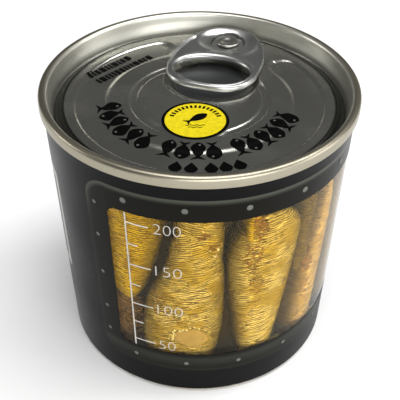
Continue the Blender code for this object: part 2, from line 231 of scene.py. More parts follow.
class Finish:
    """One material, with its shader and the place on the piece."""

    def __init__(self, name, **values):
        self.material = bpy.data.materials.new(name)
        self.material.use_nodes = True
        self.tree = self.material.node_tree
        self.shader = self.tree.nodes["Principled BSDF"]
        self.place = add_node(self.tree, "ShaderNodeTexCoord").outputs["Object"]
        for name, value in values.items():
            self.feed(name.replace("_", " ").title().replace("Ior", "IOR"), value)

    def feed(self, socket, value):
        fill(self.shader.inputs[socket], value)

    def bump(self, height, strength, distance):
        sockets = {"Strength": strength, "Distance": distance, "Height": height}
        self.feed("Normal", add_node(self.tree, "ShaderNodeBump", sockets).outputs["Normal"])

    def use(self, group, **values):
        """Place a shared group in this material and hand back its outputs."""
        sockets = {name.replace("_", " ").title(): value for name, value in values.items()}
        return add_node(self.tree, "ShaderNodeGroup", sockets, node_tree=group).outputs


def shared_group(name, inputs, work):
    """A node group: its inputs with their defaults, None for a place, and its working function."""
    tree = bpy.data.node_groups.new(name, "ShaderNodeTree")
    for label, default in inputs.items():
        kind = "NodeSocketVector" if default is None else "NodeSocketFloat"
        socket = tree.interface.new_socket(name=label, in_out="INPUT", socket_type=kind)
        if default is not None:
            socket.default_value = default
    outputs = work(tree, tree.nodes.new("NodeGroupInput").outputs)
    for label in outputs:
        tree.interface.new_socket(name=label, in_out="OUTPUT", socket_type="NodeSocketFloat")
    result = tree.nodes.new("NodeGroupOutput")
    for label, value in outputs.items():
        fill(result.inputs[label], value)
    print("group", name, "gives", list(outputs))
    return tree


# %% [markdown]
# Three groups are shared by finishes of the can. The first turns a place on it into millimetres: how
# far round from the front, and how high. The second gives the distance from a rounded field, and the
# print on the sleeve is drawn with those two. The third is the slight unevenness of any handled
# surface: smudges that change its gloss, and a faint waviness.

# %% Shared node groups
WRAP_RADIUS = 35.9


def round_and_up(tree, given):
    parts = add_node(tree, "ShaderNodeSeparateXYZ", {0: given["Place"]}).outputs
    azimuth = calc("ARCTAN2", parts["X"], times(parts["Y"], -1.0))
    return {"Arc": times(azimuth, WRAP_RADIUS), "Height": times(parts["Z"], 1.0 / MM)}


def from_field(tree, given):
    """Distance in millimetres from a rectangle with rounded corners, negative inside it."""
    over = []
    for value, half in (("Arc", "Half Width"), ("Height", "Half Height")):
        away = calc("ABSOLUTE", calc("SUBTRACT", given[value], given["Centre " + value]))
        over.append(calc("SUBTRACT", away, calc("SUBTRACT", given[half], given["Corner"])))
    squares = [calc("POWER", calc("MAXIMUM", side, 0.0), 2.0) for side in over]
    outside = calc("SQRT", calc("ADD", *squares))
    inside = calc("MINIMUM", calc("MAXIMUM", *over), 0.0)
    return {"Distance": calc("SUBTRACT", calc("ADD", outside, inside), given["Corner"])}


def smudged(tree, given):
    smudge = grain(given["Place"], given["Smudge Scale"], 4.0)
    gloss = ramp(smudge, 0.35, 0.7, given["Low Gloss"], given["High Gloss"], "LINEAR")
    return {"Roughness": gloss, "Height": grain(given["Place"], given["Wave Scale"], 1.0)}


around_group = shared_group("around_the_can", {"Place": None}, round_and_up)
field_inputs = {
    "Arc": 0.0, "Height": 0.0, "Centre Arc": 0.0, "Centre Height": 0.0,
    "Half Width": 1.0, "Half Height": 1.0, "Corner": 1.0,
}
field_group = shared_group("rounded_field", field_inputs, from_field)
handled_inputs = {
    "Place": None, "Smudge Scale": 60.0, "Low Gloss": 0.3, "High Gloss": 0.4, "Wave Scale": 90.0,
}
handled_group = shared_group("handled_surface", handled_inputs, smudged)

# %% [markdown]
# The can narrows towards its foot by a little over two degrees, as a moulded cup must to leave its
# mould, and flares under the seam. One function gives the sleeve's radius at any height, and
# everything printed on the can, and everything inside it, is placed from that.

# %% The can's outline
sleeve_low, sleeve_high = [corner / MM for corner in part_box("label")]
lid_low, lid_high = [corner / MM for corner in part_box("lid")]
CAN_HEIGHT = lid_high.z
SEAM_RADIUS = lid_high.x
MOUTH_RADIUS = sleeve_high.x
SLEEVE_BOTTOM_Z = sleeve_low.z
SLEEVE_TOP_Z = sleeve_high.z
FLARE_Z = 65.0
SHOULDER_RADIUS = 37.03
FOOT_RADIUS = 34.4
INNER_DEPTH = 1.2
FLOOR_Z = 3.4


def sleeve_radius(z):
    if z > FLARE_Z:
        share = (z - FLARE_Z) / (SLEEVE_TOP_Z - FLARE_Z)
        return SHOULDER_RADIUS + share * (MOUTH_RADIUS - SHOULDER_RADIUS)
    return FOOT_RADIUS + (SHOULDER_RADIUS - FOOT_RADIUS) * z / FLARE_Z


def inner_radius(z):
    return sleeve_radius(z) - INNER_DEPTH


print("height", round(CAN_HEIGHT, 2), "seam radius", round(SEAM_RADIUS, 2))

# %% [markdown]
# The cup is clear plastic, and it touches the oil all over. Glass that holds a liquid needs three
# surfaces in the right order, so the oil is drawn a little way into the wall, and no film of air
# shows between them. Plastic and oil bend light alike, so their own surface inside the wall must not
# glint: both get a low index, the oil's nearly that of air, and only the cup's outside still shines.
# Rays from the lamps pass straight through both, or the fish would stand in the dark.

# %% Clear plastic and oil


def clear_finish(name, colour, ior, roughness, shade):
    """A clear solid that lets rays from lamps through with a tint."""
    finish = Finish(name, base_color=colour, roughness=roughness, ior=ior, transmission_weight=1.0)
    shadow_ray = add_node(finish.tree, "ShaderNodeLightPath").outputs["Is Shadow Ray"]
    straight = add_node(finish.tree, "ShaderNodeBsdfTransparent", {"Color": shade}).outputs[0]
    sockets = {0: shadow_ray, 1: finish.shader.outputs[0], 2: straight}
    surface = add_node(finish.tree, "ShaderNodeMixShader", sockets).outputs[0]
    fill(finish.tree.nodes["Material Output"].inputs["Surface"], surface)
    return finish


plastic = clear_finish("clear_plastic", (0.99, 0.99, 0.97), 1.2, 0.03, (0.98, 0.98, 0.96))
handled = plastic.use(handled_group, place=plastic.place, smudge_scale=45.0, low_gloss=0.0, high_gloss=0.03)
plastic.feed("Roughness", handled["Roughness"])
plastic.bump(handled["Height"], 0.05, 0.0004)
oil = clear_finish("smoky_oil", (0.98, 0.85, 0.42), 1.06, 0.0, (0.97, 0.87, 0.54))
oil.bump(grain(oil.place, 70.0), 0.04, 0.0004)
print("made", plastic.material.name, "and", oil.material.name)

# %% Cup and oil
CUP_STEPS = 180
FILM = 0.06
OIL_TOP_Z = 64.4
INTO_WALL = 0.15


def cup_section():
    """The CAD cup's section, with its outer face brought out to the back of the printed film."""
    outer = [(SEAM_RADIUS - 0.7, CAN_HEIGHT - 1.1)]
    outer += [(sleeve_radius(z) - FILM, z) for z in (SLEEVE_TOP_Z, FLARE_Z, 40.0, 20.0, SLEEVE_BOTTOM_Z)]
    foot = [(0.1, 0.85), (0.35, 0.5), (0.8, 0.2), (1.4, 0.04), (2.1, 0.0), (3.4, 0.0), (3.6, 0.2)]
    foot += [(4.0, 2.4), (4.3, FLOOR_Z - 0.8), (FOOT_RADIUS, FLOOR_Z - 0.8), (FOOT_RADIUS, FLOOR_Z)]
    foot += [(3.6, FLOOR_Z), (3.3, 3.1), (2.7, 1.2), (2.5, 1.0), (1.6, 1.0)]
    inner = [(inner_radius(z), z) for z in (1.8, 20.0, 40.0, FLARE_Z)]
    inner += [(SEAM_RADIUS - 1.7, 68.2), (SEAM_RADIUS - 1.2, CAN_HEIGHT - 1.1)]
    return outer + [(FOOT_RADIUS - inward, z) for inward, z in foot] + inner


def oil_section():
    wall = [(inner_radius(z) + INTO_WALL, z) for z in (OIL_TOP_Z, 40.0, 20.0, 2.0)]
    foot = [(FOOT_RADIUS - 1.6, 0.85), (FOOT_RADIUS - 2.6, 0.85), (FOOT_RADIUS - 3.75, FLOOR_Z - 0.15)]
    return [(0.0, OIL_TOP_Z), (34.0, OIL_TOP_Z)] + wall + foot + [(0.0, FLOOR_Z - 0.15)]


cup = shaped("clear_cup", turned(cup_section(), CUP_STEPS), plastic, sharp=50.0)
carried(cup, "can_wall")
carried(shaped("oil", turned(oil_section(), CUP_STEPS), oil))

# %% [markdown]
# The sleeve is a printed film moulded into the wall, so it lies flush with it. It is modelled as a
# thin closed shell with the window cut out, which gives a real edge to the window. Its print is
# drawn by nodes: a dark metal frame round the window, lit from above like a ship's porthole plate,
# and an outlined panel of plain rules on the left, where such cans carry their small print.

# %% Print on the sleeve
WINDOW_LEFT = -33.0
WINDOW_RIGHT = 89.0
WINDOW_BOTTOM_Z = 14.5
WINDOW_TOP_Z = 58.3
BLACK = (0.002, 0.002, 0.0025)
FRAME_DARK = (0.0045, 0.0042, 0.0028)
FRAME_LIT = (0.055, 0.06, 0.046)
FRAME_MARGIN = 6.2
FRAME_CORNER = 6.0
PANEL_PALE = (0.42, 0.42, 0.39)
PANEL_FROM = -65.5
PANEL_TO = -150.0
PANEL_LOW_Z = 25.0
PANEL_HIGH_Z = 55.0
PANEL_CORNER = 1.2
PANEL_LINE_PITCH = 3.0
PANEL_LINE = 0.28
PANEL_OUTLINE = 2.0
PANEL_MARGIN = 4.0


def field_round(finish, around, azimuths, heights, margin, corner):
    """Distance from a rounded field between two azimuths and two heights, grown by a margin."""
    low, high = (math.radians(azimuth) * WRAP_RADIUS for azimuth in azimuths)
    field = finish.use(
        field_group, arc=around["Arc"], height=around["Height"],
        centre_arc=(low + high) / 2, centre_height=sum(heights) / 2,
        half_width=(high - low) / 2 + margin, half_height=(heights[1] - heights[0]) / 2 + margin,
        corner=corner,
    )
    return field["Distance"]


def make_sleeve_print():
    finish = Finish("black_print", roughness=0.3, specular_ior_level=0.07)
    around = finish.use(around_group, place=finish.place)
    height = around["Height"]
    frame_heights = (WINDOW_BOTTOM_Z, WINDOW_TOP_Z)
    from_frame = field_round(
        finish, around, (WINDOW_LEFT, WINDOW_RIGHT), frame_heights, FRAME_MARGIN, FRAME_CORNER
    )
    lit_edge = times(ramp(from_frame, -1.7, -0.2), ramp(height, 52.0, 64.0, 0.12, 1.0))
    lit_foot = times(ramp(height, 13.9, 12.6, 0.0, 0.28), ramp(height, 9.0, 12.6))
    plate = mix(calc("MAXIMUM", lit_edge, lit_foot, clamp=True), FRAME_DARK, FRAME_LIT)
    ground = mix(ramp(from_frame, 0.0, -0.25), BLACK, plate)
    panel_heights = (PANEL_LOW_Z, PANEL_HIGH_Z)
    from_panel = field_round(finish, around, (PANEL_TO, PANEL_FROM), panel_heights, 0.0, PANEL_CORNER)
    rule = calc("LESS_THAN", calc("WRAP", height, PANEL_LINE_PITCH, 0.0), PANEL_LINE)
    rule = times(rule, ramp(from_panel, -PANEL_MARGIN, -PANEL_MARGIN - 0.1))
    lines = mix(rule, BLACK, PANEL_PALE)
    paper = mix(ramp(from_panel, -PANEL_OUTLINE, -PANEL_OUTLINE - 0.1), PANEL_PALE, lines)
    finish.feed("Base Color", mix(ramp(from_panel, 0.05, -0.05), ground, paper))
    handled = finish.use(
        handled_group, place=finish.place, smudge_scale=38.0,
        low_gloss=0.26, high_gloss=0.38, wave_scale=60.0,
    )
    finish.feed("Roughness", handled["Roughness"])
    finish.bump(handled["Height"], 0.06, 0.0004)
    return finish


sleeve_print = make_sleeve_print()
print("made", sleeve_print.material.name)

# %% Sleeve and its window
WINDOW_CORNER = 2.5
WINDOW_STEP = 2.0
SLEEVE_STEPS = 240
FILM_GAP = 0.02


def window_cutter():
    """A curved block with the window's outline, lofted in steps round the can."""
    corner = WINDOW_CORNER * math.degrees(1.0 / sleeve_radius((WINDOW_BOTTOM_Z + WINDOW_TOP_Z) / 2))
    turns = [math.radians(turn) for turn in range(0, 91, 10)]
    stations = [(corner * (1.0 - math.cos(turn)), WINDOW_CORNER * (1.0 - math.sin(turn))) for turn in turns]
    left = [(WINDOW_LEFT + away, rise) for away, rise in stations]
    right = [(WINDOW_RIGHT - away, rise) for away, rise in reversed(stations)]
    span = right[0][0] - left[-1][0]
    count = int(span / WINDOW_STEP)
    middle = [(left[-1][0] + span / count * index, 0.0) for index in range(1, count)]
    bm = bmesh.new()
    loops = []
    for azimuth, rise in left + middle + right:
        low, high = WINDOW_BOTTOM_Z + rise, WINDOW_TOP_Z - rise
        corners = ((SEAM_RADIUS + 2, low), (SEAM_RADIUS + 2, high), (30.0, high), (30.0, low))
        verts = [bm.verts.new(polar(radius, azimuth, z)) for radius, z in corners]
        loops.append([bm.edges.new((verts[i], verts[(i + 1) % 4])) for i in range(4)])
    for near, far in zip(loops, loops[1:]):
        bmesh.ops.bridge_loops(bm, edges=near + far)
    bmesh.ops.holes_fill(bm, edges=bm.edges, sides=4)
    return shaped("window_cutter", bm, sleeve_print)


heights = (SLEEVE_TOP_Z, 66.4, FLARE_Z, 45.0, 25.0, SLEEVE_BOTTOM_Z)
outside = [(sleeve_radius(z), z) for z in heights]
inside = [(sleeve_radius(z) - FILM + FILM_GAP, z) for z in reversed(heights)]
sleeve = shaped("printed_sleeve", turned(outside + inside, SLEEVE_STEPS), sleeve_print)
carried(cut(sleeve, window_cutter()), "label")
print("window spans", WINDOW_RIGHT - WINDOW_LEFT, "degrees")

# %% [markdown]
# Small printed marks are thin closed shapes laid on the surface. Each is drawn flat, given a hair
# of thickness, cut into short pieces so that it can bend, and then wrapped round the can or draped
# on the lid by a function from flat to place.

# %% Ink laid on a surface
INK = 0.03


def wrapped(azimuth, height, lift=0.01):
    """A function that wraps flat millimetres round the can from one azimuth and height."""
    def place(x, y, above):
        z = height + y
        radius = sleeve_radius(z)
        return polar(radius + lift + above, azimuth + math.degrees(x / radius), z)
    return place


def laid(bm, place, thickness=INK):
    """Thicken a flat bmesh and move it to its place."""
    raised = bmesh.ops.extrude_face_region(bm, geom=bm.faces[:])
    top = [item for item in raised["geom"] if isinstance(item, bmesh.types.BMVert)]
    bmesh.ops.translate(bm, vec=(0, 0, thickness), verts=top)
    bmesh.ops.recalc_face_normals(bm, faces=bm.faces)
    for vert in bm.verts:
        vert.co = place(*vert.co)
    return bm


def rectangle(x, y, width, height, step=1.0):
    """A flat grid from its lower left corner."""
    bm = bmesh.new()
    across, up = (max(1, round(side / step)) for side in (width, height))
    bmesh.ops.create_grid(bm, x_segments=across, y_segments=up, size=0.5)
    bmesh.ops.scale(bm, vec=(width, height, 1), verts=bm.verts)
    bmesh.ops.translate(bm, vec=(x + width / 2, y + height / 2, 0), verts=bm.verts)
    return bm


def disc(x, y, radius, segments=24):
    bm = bmesh.new()
    bmesh.ops.create_circle(bm, cap_ends=True, radius=radius, segments=segments)
    bmesh.ops.translate(bm, vec=(x, y, 0), verts=bm.verts)
    return bm


def joined(parts):
    """One bmesh from several."""
    whole = bmesh.new()
    for part in parts:
        mesh = bpy.data.meshes.new("part")
        part.to_mesh(mesh)
        part.free()
        whole.from_mesh(mesh)
        bpy.data.meshes.remove(mesh)
    return whole


def ink_finish(name, colour, roughness=0.45, shine=0.15):
    finish = Finish(name, roughness=roughness, specular_ior_level=shine)
    fade = ramp(grain(finish.place, 900.0), 0.3, 0.8)
    finish.feed("Base Color", mix(fade, colour, tuple(0.8 * channel for channel in colour)))
    return finish


def printed(name, parts, ink):
    carried(shaped(name, joined(parts), ink))


white_ink = ink_finish("white_ink", (0.52, 0.5, 0.46))
rivet_light = ink_finish("rivet_light", (0.12, 0.125, 0.11))
rivet_dark = ink_finish("rivet_dark", (0.004, 0.004, 0.004))
print("inks:", [ink.material.name for ink in (white_ink, rivet_light, rivet_dark)])

# %% [markdown]
# The gauge on the window is like the one on a measuring jug: an upright line, a long mark every
# fifty millilitres with its number, and a short mark half way between. Plain numbers are made
# from a text object, turned into a mesh before they are wrapped.

# %% Gauge
GAUGE_AZIMUTH = -25.8
GAUGE_LINE = 0.36
GAUGE_LOW_Z = 14.7
GAUGE_HIGH_Z = 58.1
MARK_AT_50_Z = 17.0
MARK_PITCH = 12.8
LONG_MARK = 5.2
SHORT_MARK = 2.4
NUMBER_AZIMUTH = -15.4
NUMBER_HEIGHT = 3.0
DIGIT_WIDTH = 6.1 / 3
NUMBER_THINNED = -0.022


def number_mesh(text):
    """Flat digits with their lower left corner at the origin, in millimetres."""
    curve = bpy.data.curves.new("number", "FONT")
    curve.body = text
    curve.size = 1.0
    curve.resolution_u = 4
    curve.offset = NUMBER_THINNED
    thing = bpy.data.objects.new("number", curve)
    bpy.context.scene.collection.objects.link(thing)
    mesh = worked_out(thing)
    bm = bmesh.new()
    bm.from_mesh(mesh)
    bpy.data.objects.remove(thing, do_unlink=True)
    bpy.data.curves.remove(curve)
    bpy.data.meshes.remove(mesh)
    low_x, high_x = (pick(vert.co.x for vert in bm.verts) for pick in (min, max))
    low_y, high_y = (pick(vert.co.y for vert in bm.verts) for pick in (min, max))
    bmesh.ops.translate(bm, vec=(-low_x, -low_y, 0), verts=bm.verts)
    across = DIGIT_WIDTH * len(text) / (high_x - low_x)
    bmesh.ops.scale(bm, vec=(across, NUMBER_HEIGHT / (high_y - low_y), 1), verts=bm.verts)
    return bm


upright = rectangle(-GAUGE_LINE / 2, 0, GAUGE_LINE, GAUGE_HIGH_Z - GAUGE_LOW_Z, step=4.0)
gauge = [laid(upright, wrapped(GAUGE_AZIMUTH, GAUGE_LOW_Z))]
for half_step in range(7):
    height = MARK_AT_50_Z + half_step * MARK_PITCH / 2
    length = SHORT_MARK if half_step % 2 else LONG_MARK
    mark = rectangle(GAUGE_LINE / 2, -GAUGE_LINE / 2, length, GAUGE_LINE)
    gauge.append(laid(mark, wrapped(GAUGE_AZIMUTH, height)))
    if not half_step % 2:
        number = number_mesh(str(50 + 25 * half_step))
        gauge.append(laid(number, wrapped(NUMBER_AZIMUTH, height - NUMBER_HEIGHT / 2)))
printed("gauge", gauge, white_ink)

# %% [markdown]
# The frame's rivets are only printed. Each is a small pale disc with a dark one showing under it
# as its shadow. Six stand at an even pitch above the window and six below, and five at each end.

# %% Printed rivets
RIVET_TOP = (61.5, 0.7)
RIVET_LOW = (11.1, 0.56)
RIVET_AZIMUTHS = [-26.0 + 21.55 * index for index in range(6)]
RIVET_SIDE_RADIUS = 0.5
RIVET_SIDE_Z = (57.6, 47.9, 36.0, 24.3, 16.2)
RIVET_SIDE_AZIMUTHS = (-38.7, 94.7)

rivets = [(azimuth, *row) for azimuth in RIVET_AZIMUTHS for row in (RIVET_TOP, RIVET_LOW)]
rivets += [(azimuth, z, RIVET_SIDE_RADIUS) for azimuth in RIVET_SIDE_AZIMUTHS for z in RIVET_SIDE_Z]
for name, share, shift, lift, ink in (
    ("rivet_shadows", 1.25, -0.3, 0.005, rivet_dark), ("rivet_heads", 1.0, 0.0, 0.045, rivet_light),
):
    discs = [
        laid(disc(0.0, shift * radius, share * radius), wrapped(azimuth, z, lift))
        for azimuth, z, radius in rivets
    ]
    printed(name, discs, ink)

# %% [markdown]
# Smoked sprats keep their thin gold skin. It shrinks in the smoke into fine creases that run across
# the body, tears where two fish touch, and goes brown there. Each fish starts from a sphere with
# many rings. Its outline comes from a few rows of height, left azimuth and right azimuth, read off
# where the fish lies against the wall, and a smooth curve runs through them. Creases wide enough to
# catch the light are moved vertices, and finer ones are bump in the skin's nodes.

# %% Fish outlines
# Name: rows of (height, left azimuth, right azimuth), how far behind the wall, and its skin
FISH = {
    "sprat_a": ([(27, -33, -27), (31, -40, -24), (38, -44, -20), (48, -46, -15.5), (58, -46, -14),
                 (63, -42, -20)], 0.5, "yellow"),
    "sprat_b": ([(5, -16, -4), (9, -24, 6), (15, -26, 9.5), (25, -24.5, 11.3), (31, -22, 11.5),
                 (38, -16.5, 11.2), (43, -13.5, 10.5), (47, -12, 8.5), (50, -11, 4.5), (53, -9.5, -1),
                 (55, -8, -5)], 0.3, "gold"),
    "sprat_b_upper": ([(40, 0, 6), (44, -4, 10), (48, -6, 10.5), (53, -10, 10.5), (59, -9, 9.5),
                       (63, -4, 5)], 0.9, "gold"),
    "sprat_c": ([(6, 21, 31), (9, 18.5, 34), (15, 16.7, 36), (24, 15, 39), (33, 12.8, 42),
                 (42, 11.6, 44.5), (48, 13, 45.5), (53, 17, 44.5), (56, 22, 40)], 0.15, "gold"),
    "sprat_c_upper": ([(48, 18.5, 21), (51, 17.5, 23), (56, 17.5, 24.5), (61, 18, 24)], 0.7, "yellow"),
    "sprat_d": ([(30, 44, 52), (38, 43, 56), (47, 43.5, 58), (54, 44.5, 57), (59, 46, 54)], 2.0, "olive"),
    "sprat_e": ([(4, 47, 55), (9, 44.5, 59), (15, 44.5, 61), (24, 46, 63), (31, 48, 63.5), (38, 51, 63.5),
                 (46, 54, 63.5), (53, 57, 63.5), (59, 59, 63)], 0.2, "tan"),
    "sprat_f": ([(6, 71, 79), (14, 67, 86), (30, 66, 89), (46, 65.5, 87), (56, 67, 82), (61, 69, 76)],
                0.2, "olive"),
    "sprat_g": ([(6, -42, -32), (12, -48, -27), (20, -50, -26), (27, -48, -25), (31, -42, -29)],
                1.6, "dark"),
}
# Patches where the skin is torn: height, azimuth, half sizes and strength, for the fish they are on
TORN = {
    "sprat_a": [(51.0, -18.0, 1.5, 5.0, 0.6), (42.0, -28.0, 5.0, 3.0, 0.6)],
    "sprat_b": [(30.0, -16.5, 5.0, 4.0, 0.8), (26.0, -10.0, 2.5, 6.0, 0.7), (50.0, -8.0, 3.0, 3.0, 0.7)],
    "sprat_b_upper": [(52.5, 1.0, 1.2, 3.5, 1.0), (49.0, 6.0, 1.3, 3.0, 1.0)],
    "sprat_c": [(53.0, 24.0, 4.5, 3.0, 1.0), (45.0, 21.0, 6.5, 4.5, 0.85), (36.0, 23.0, 4.5, 4.0, 0.8)],
    "sprat_c_upper": [(54.0, 21.5, 5.0, 1.8, 1.0)],
    "sprat_e": [(35.0, 50.5, 7.0, 2.4, 1.0), (26.0, 49.5, 4.0, 2.5, 0.8)],
    "sprat_g": [(22.0, -28.0, 8.0, 8.0, 0.7)],
}
print(len(FISH), "fish show through the window")

# %% Fish shape
FISH_THICKNESS = 9.0
FISH_RINGS = 230
FISH_SEGMENTS = 100
END_BLUNTNESS = 9
SIDE_FULLNESS = 0.85
FRONT_FLATNESS = 0.62
CREASE_DEPTH = 0.17
SWELL_DEPTH = 0.35
TORN_DEPTH = 0.35


def power(value, exponent):
    return math.copysign(abs(value) ** exponent, value)


def noise_at(x, y, seed):
    return noise.noise(Vector((x, y, seed)))


def through(rows, z):
    """Left and right azimuth at a height, by a curve that runs smoothly through the rows."""
    index = 0
    while index < len(rows) - 2 and z > rows[index + 1][0]:
        index += 1
    four = [rows[max(0, min(len(rows) - 1, index + offset))] for offset in (-1, 0, 1, 2)]
    span = four[2][0] - four[1][0]
    t = min(max((z - four[1][0]) / span, 0.0), 1.0)
    sides = []
    for side in (1, 2):
        p0, p1, p2, p3 = (row[side] for row in four)
        bend = (2 * p1) + (p2 - p0) * t + (2 * p0 - 5 * p1 + 4 * p2 - p3) * t * t
        sides.append(0.5 * (bend + (3 * p1 - p0 - 3 * p2 + p3) * t ** 3))
    return sides


def crease(across, along, seed):
    """Fine folds that run across the fish and waver, from -1 to 1."""
    along += 1.3 * noise_at(across * 0.2, along * 0.14, seed)
    fine = noise_at(across * 0.3, along * 1.7, seed + 7.0)
    return 0.7 * fine + 0.6 * noise_at(across * 0.13, along * 0.6, seed + 19.0)


def torn_amount(name, azimuth, z):
    most = 0.0
    for height, centre, tall, wide, strength in TORN.get(name, ()):
        ragged = 0.45 * noise_at(azimuth * 0.35, z * 0.35, 5.0)
        away = math.hypot((z - height) / tall, (azimuth - centre) / wide) + ragged
        most = max(most, strength * smoothstep((1.15 - away) / 0.5))
    return most


def show_fish(name, rows, behind, skin, seed, detail=1.0):
    bm = bmesh.new()
    bmesh.ops.create_uvsphere(
        bm, u_segments=int(FISH_SEGMENTS * detail), v_segments=int(FISH_RINGS * detail), radius=1.0
    )
    skin_map = bm.loops.layers.uv.new("skin")
    torn_layer = bm.verts.layers.float.new("torn")
    edge_shade_layer = bm.verts.layers.float.new("edge")
    low, high = rows[0][0], rows[-1][0]
    tilt = 0.25 * math.sin(seed * 2.3)
    flat_places = {}
    for vert in bm.verts:
        unit = vert.co.copy()
        share = 0.5 + math.asin(max(-1.0, min(1.0, unit.z))) / math.pi
        z = low + share * (high - low)
        left, right = through(rows, z)
        end = math.sqrt(max(0.0, 1.0 - abs(2.0 * share - 1.0) ** END_BLUNTNESS))
        around = math.atan2(unit.x, -unit.y)
        sideways = power(math.sin(around), SIDE_FULLNESS) * end
        outward = power(math.cos(around), FRONT_FLATNESS)
        azimuth = (left + right) / 2 + sideways * (right - left) / 2
        wall = inner_radius(z) - behind
        radius = wall - FISH_THICKNESS / 2 + FISH_THICKNESS / 2 * end * outward
        across = math.radians(azimuth) * wall
        along = z + tilt * across
        swell = 0.5 * noise_at(across * 0.09, z * 0.07, seed + 3.0) * max(0.0, outward) ** 0.5
        torn = torn_amount(name, azimuth, z)
        radius += CREASE_DEPTH * crease(across, along, seed) + SWELL_DEPTH * swell
        radius -= TORN_DEPTH * torn * (0.6 + noise_at(across * 0.9, z * 0.9, seed))
        vert[torn_layer] = torn
        # The edge value marks where the fish turns away at its sides, and the skin is darkened there as
        # painted shade.
        vert[edge_shade_layer] = smoothstep((abs(sideways) - 0.4) / 0.6)
        flat_places[vert] = (across / 100.0, along / 100.0)
        vert.co = polar(min(radius, inner_radius(z) - 0.02), azimuth, z)
    for face in bm.faces:
        for loop in face.loops:
            loop[skin_map].uv = flat_places[loop.vert]
    carried(shaped(name, bm, skin, sharp=180.0))


print("each fish starts from", FISH_RINGS, "rings of", FISH_SEGMENTS)

# %% [markdown]
# The skin's colour comes from one group. Streaks run across the fish, as long thin noise in the
# skin's own map, with brighter gold on the ridges and brown in the folds: partly the skin's own
# streaks, partly painted highlight on the ridges and painted shade in the folds. Patches drift towards
# olive or tan, more so towards the top, and a torn place goes orange brown. The group gives a colour
# blend and a height, and each skin keeps its own gold. Each fish also darkens towards its sides as
# painted shade, where it turns away from the light.

# %% Fish skin
STEEPED_FROM = 34.0
STEEPED_TO = 54.0
STEEPED_SHARE = 0.6
RUST = (0.3, 0.14, 0.025)
RIM_SHADE = 0.22
FOLD_SHADE = 0.35


def smoked(tree, given):
    skin = given["Skin"]
    stretch = add_node(tree, "ShaderNodeMapping", {"Vector": skin, "Scale": (34.0, 240.0, 1.0)})
    dashes = grain(stretch.outputs["Vector"], 1.0, 4.0, 0.6, 0.4)
    sockets = {"Vector": skin, "Scale": 52.0, "Distortion": 9.0, "Detail": 2.0, "Detail Scale": 0.45}
    folds = add_node(tree, "ShaderNodeTexWave", sockets, bands_direction="Y").outputs["Fac"]
    streak = calc("ADD", times(dashes, 0.8), times(folds, 0.2))
    both = calc("ADD", times(streak, 0.8), times(grain(skin, 240.0, 4.0, 0.7), 0.2))
    broken = calc("ADD", grain(skin, 130.0, 4.0, 0.65), times(given["Torn"], 0.31))
    broken = ramp(broken, 0.75, 0.84)
    return {
        "Gold": ramp(both, 0.41, 0.6), "Drift": ramp(grain(skin, 16.0, 3.0), 0.4, 0.62),
        "Broken": broken, "Height": calc("SUBTRACT", both, times(broken, 0.6)),
    }


skin_group = shared_group("smoked_skin", {"Skin": None, "Torn": 0.0}, smoked)


def make_skin(name, ridge_and_highlight, fold_and_shade, drifted, metallic=0.5, roughness=0.27):
    finish = Finish(name + "_skin", metallic=metallic, roughness=roughness, specular_ior_level=0.1)
    skin_map = add_node(finish.tree, "ShaderNodeUVMap", uv_map="skin").outputs["UV"]
    torn, edge = (
        add_node(finish.tree, "ShaderNodeAttribute", attribute_name=layer).outputs["Fac"]
        for layer in ("torn", "edge")
    )
    skin = finish.use(skin_group, skin=skin_map, torn=torn)
    # Lighter ridges and darker folds follow the bump: partly the skin's own streaks, partly painted
    # highlight and painted shade.
    colour = mix(skin["Gold"], fold_and_shade, ridge_and_highlight)
    other = mix(skin["Gold"], tuple(FOLD_SHADE * c for c in drifted), drifted)
    up = add_node(finish.tree, "ShaderNodeSeparateXYZ", {0: finish.place}).outputs["Z"]
    steeped = ramp(up, STEEPED_FROM * MM, STEEPED_TO * MM, 0.0, STEEPED_SHARE)
    colour = mix(calc("MAXIMUM", skin["Drift"], steeped), colour, other)
    # Painted shade: the colour darkens towards the fish's sides, where the body curves away from the light.
    colour = mix(times(edge, 0.88), colour, tuple(RIM_SHADE * c for c in drifted))
    finish.feed("Base Color", mix(skin["Broken"], colour, RUST))
    finish.feed("Roughness", ramp(skin["Drift"], 0.0, 1.0, roughness - 0.06, roughness + 0.08))
    finish.bump(skin["Height"], 0.9, 0.0008)
    return finish


# The olive and dark skins are partly the darker backs of fish and partly painted shade on the fish that lie
# further back.
SKINS = {
    "gold": make_skin("gold", (0.88, 0.7, 0.31), (0.09, 0.048, 0.004), (0.52, 0.35, 0.045)),
    "yellow": make_skin("yellow", (0.98, 0.68, 0.012), (0.14, 0.07, 0.002), (0.6, 0.38, 0.004)),
    "tan": make_skin("tan", (0.85, 0.6, 0.3), (0.12, 0.05, 0.01), (0.6, 0.37, 0.1)),
    "olive": make_skin("olive", (0.2, 0.13, 0.015), (0.045, 0.026, 0.003), (0.12, 0.07, 0.006), 0.25),
    "dark": make_skin("dark", (0.26, 0.15, 0.06), (0.03, 0.017, 0.006), (0.09, 0.05, 0.016), 0.15),
}
print("skins:", sorted(SKINS))

# %% Fish in the window
for number, (name, (rows, behind, skin)) in enumerate(FISH.items()):
    show_fish(name, rows, behind, SKINS[skin], seed=4.0 + 3.7 * number)

# %% [markdown]
# Where a fish presses on the wall, it squeezes the oil out and leaves a smooth tan spot. Small
# bubbles gather along the spot's upper edge and in the crease above it. The spot is a very flat
# lens just inside the wall, and the bubbles are small spheres on an arc.

# %% Wet spot and bubbles
SPOT_AZIMUTH = -2.6
SPOT_Z = 19.7
SPOT_HALF_WIDTH = 4.2
SPOT_HALF_HEIGHT = 3.1
SPOT_DEPTH = 0.25
BUBBLE_COUNT = 17
BUBBLES_FROM = 70.0
BUBBLES_SPAN = 130.0
CREASE_BUBBLES = 9
CREASE_BUBBLE_PLACE = (5.0, 28.5)


def on_wall(x, y, inward):
    """A point at flat millimetres from the spot's middle, some way inside the wall."""
    radius = inner_radius(SPOT_Z + y)
    return polar(radius - inward, SPOT_AZIMUTH + math.degrees(x / radius), SPOT_Z + y)


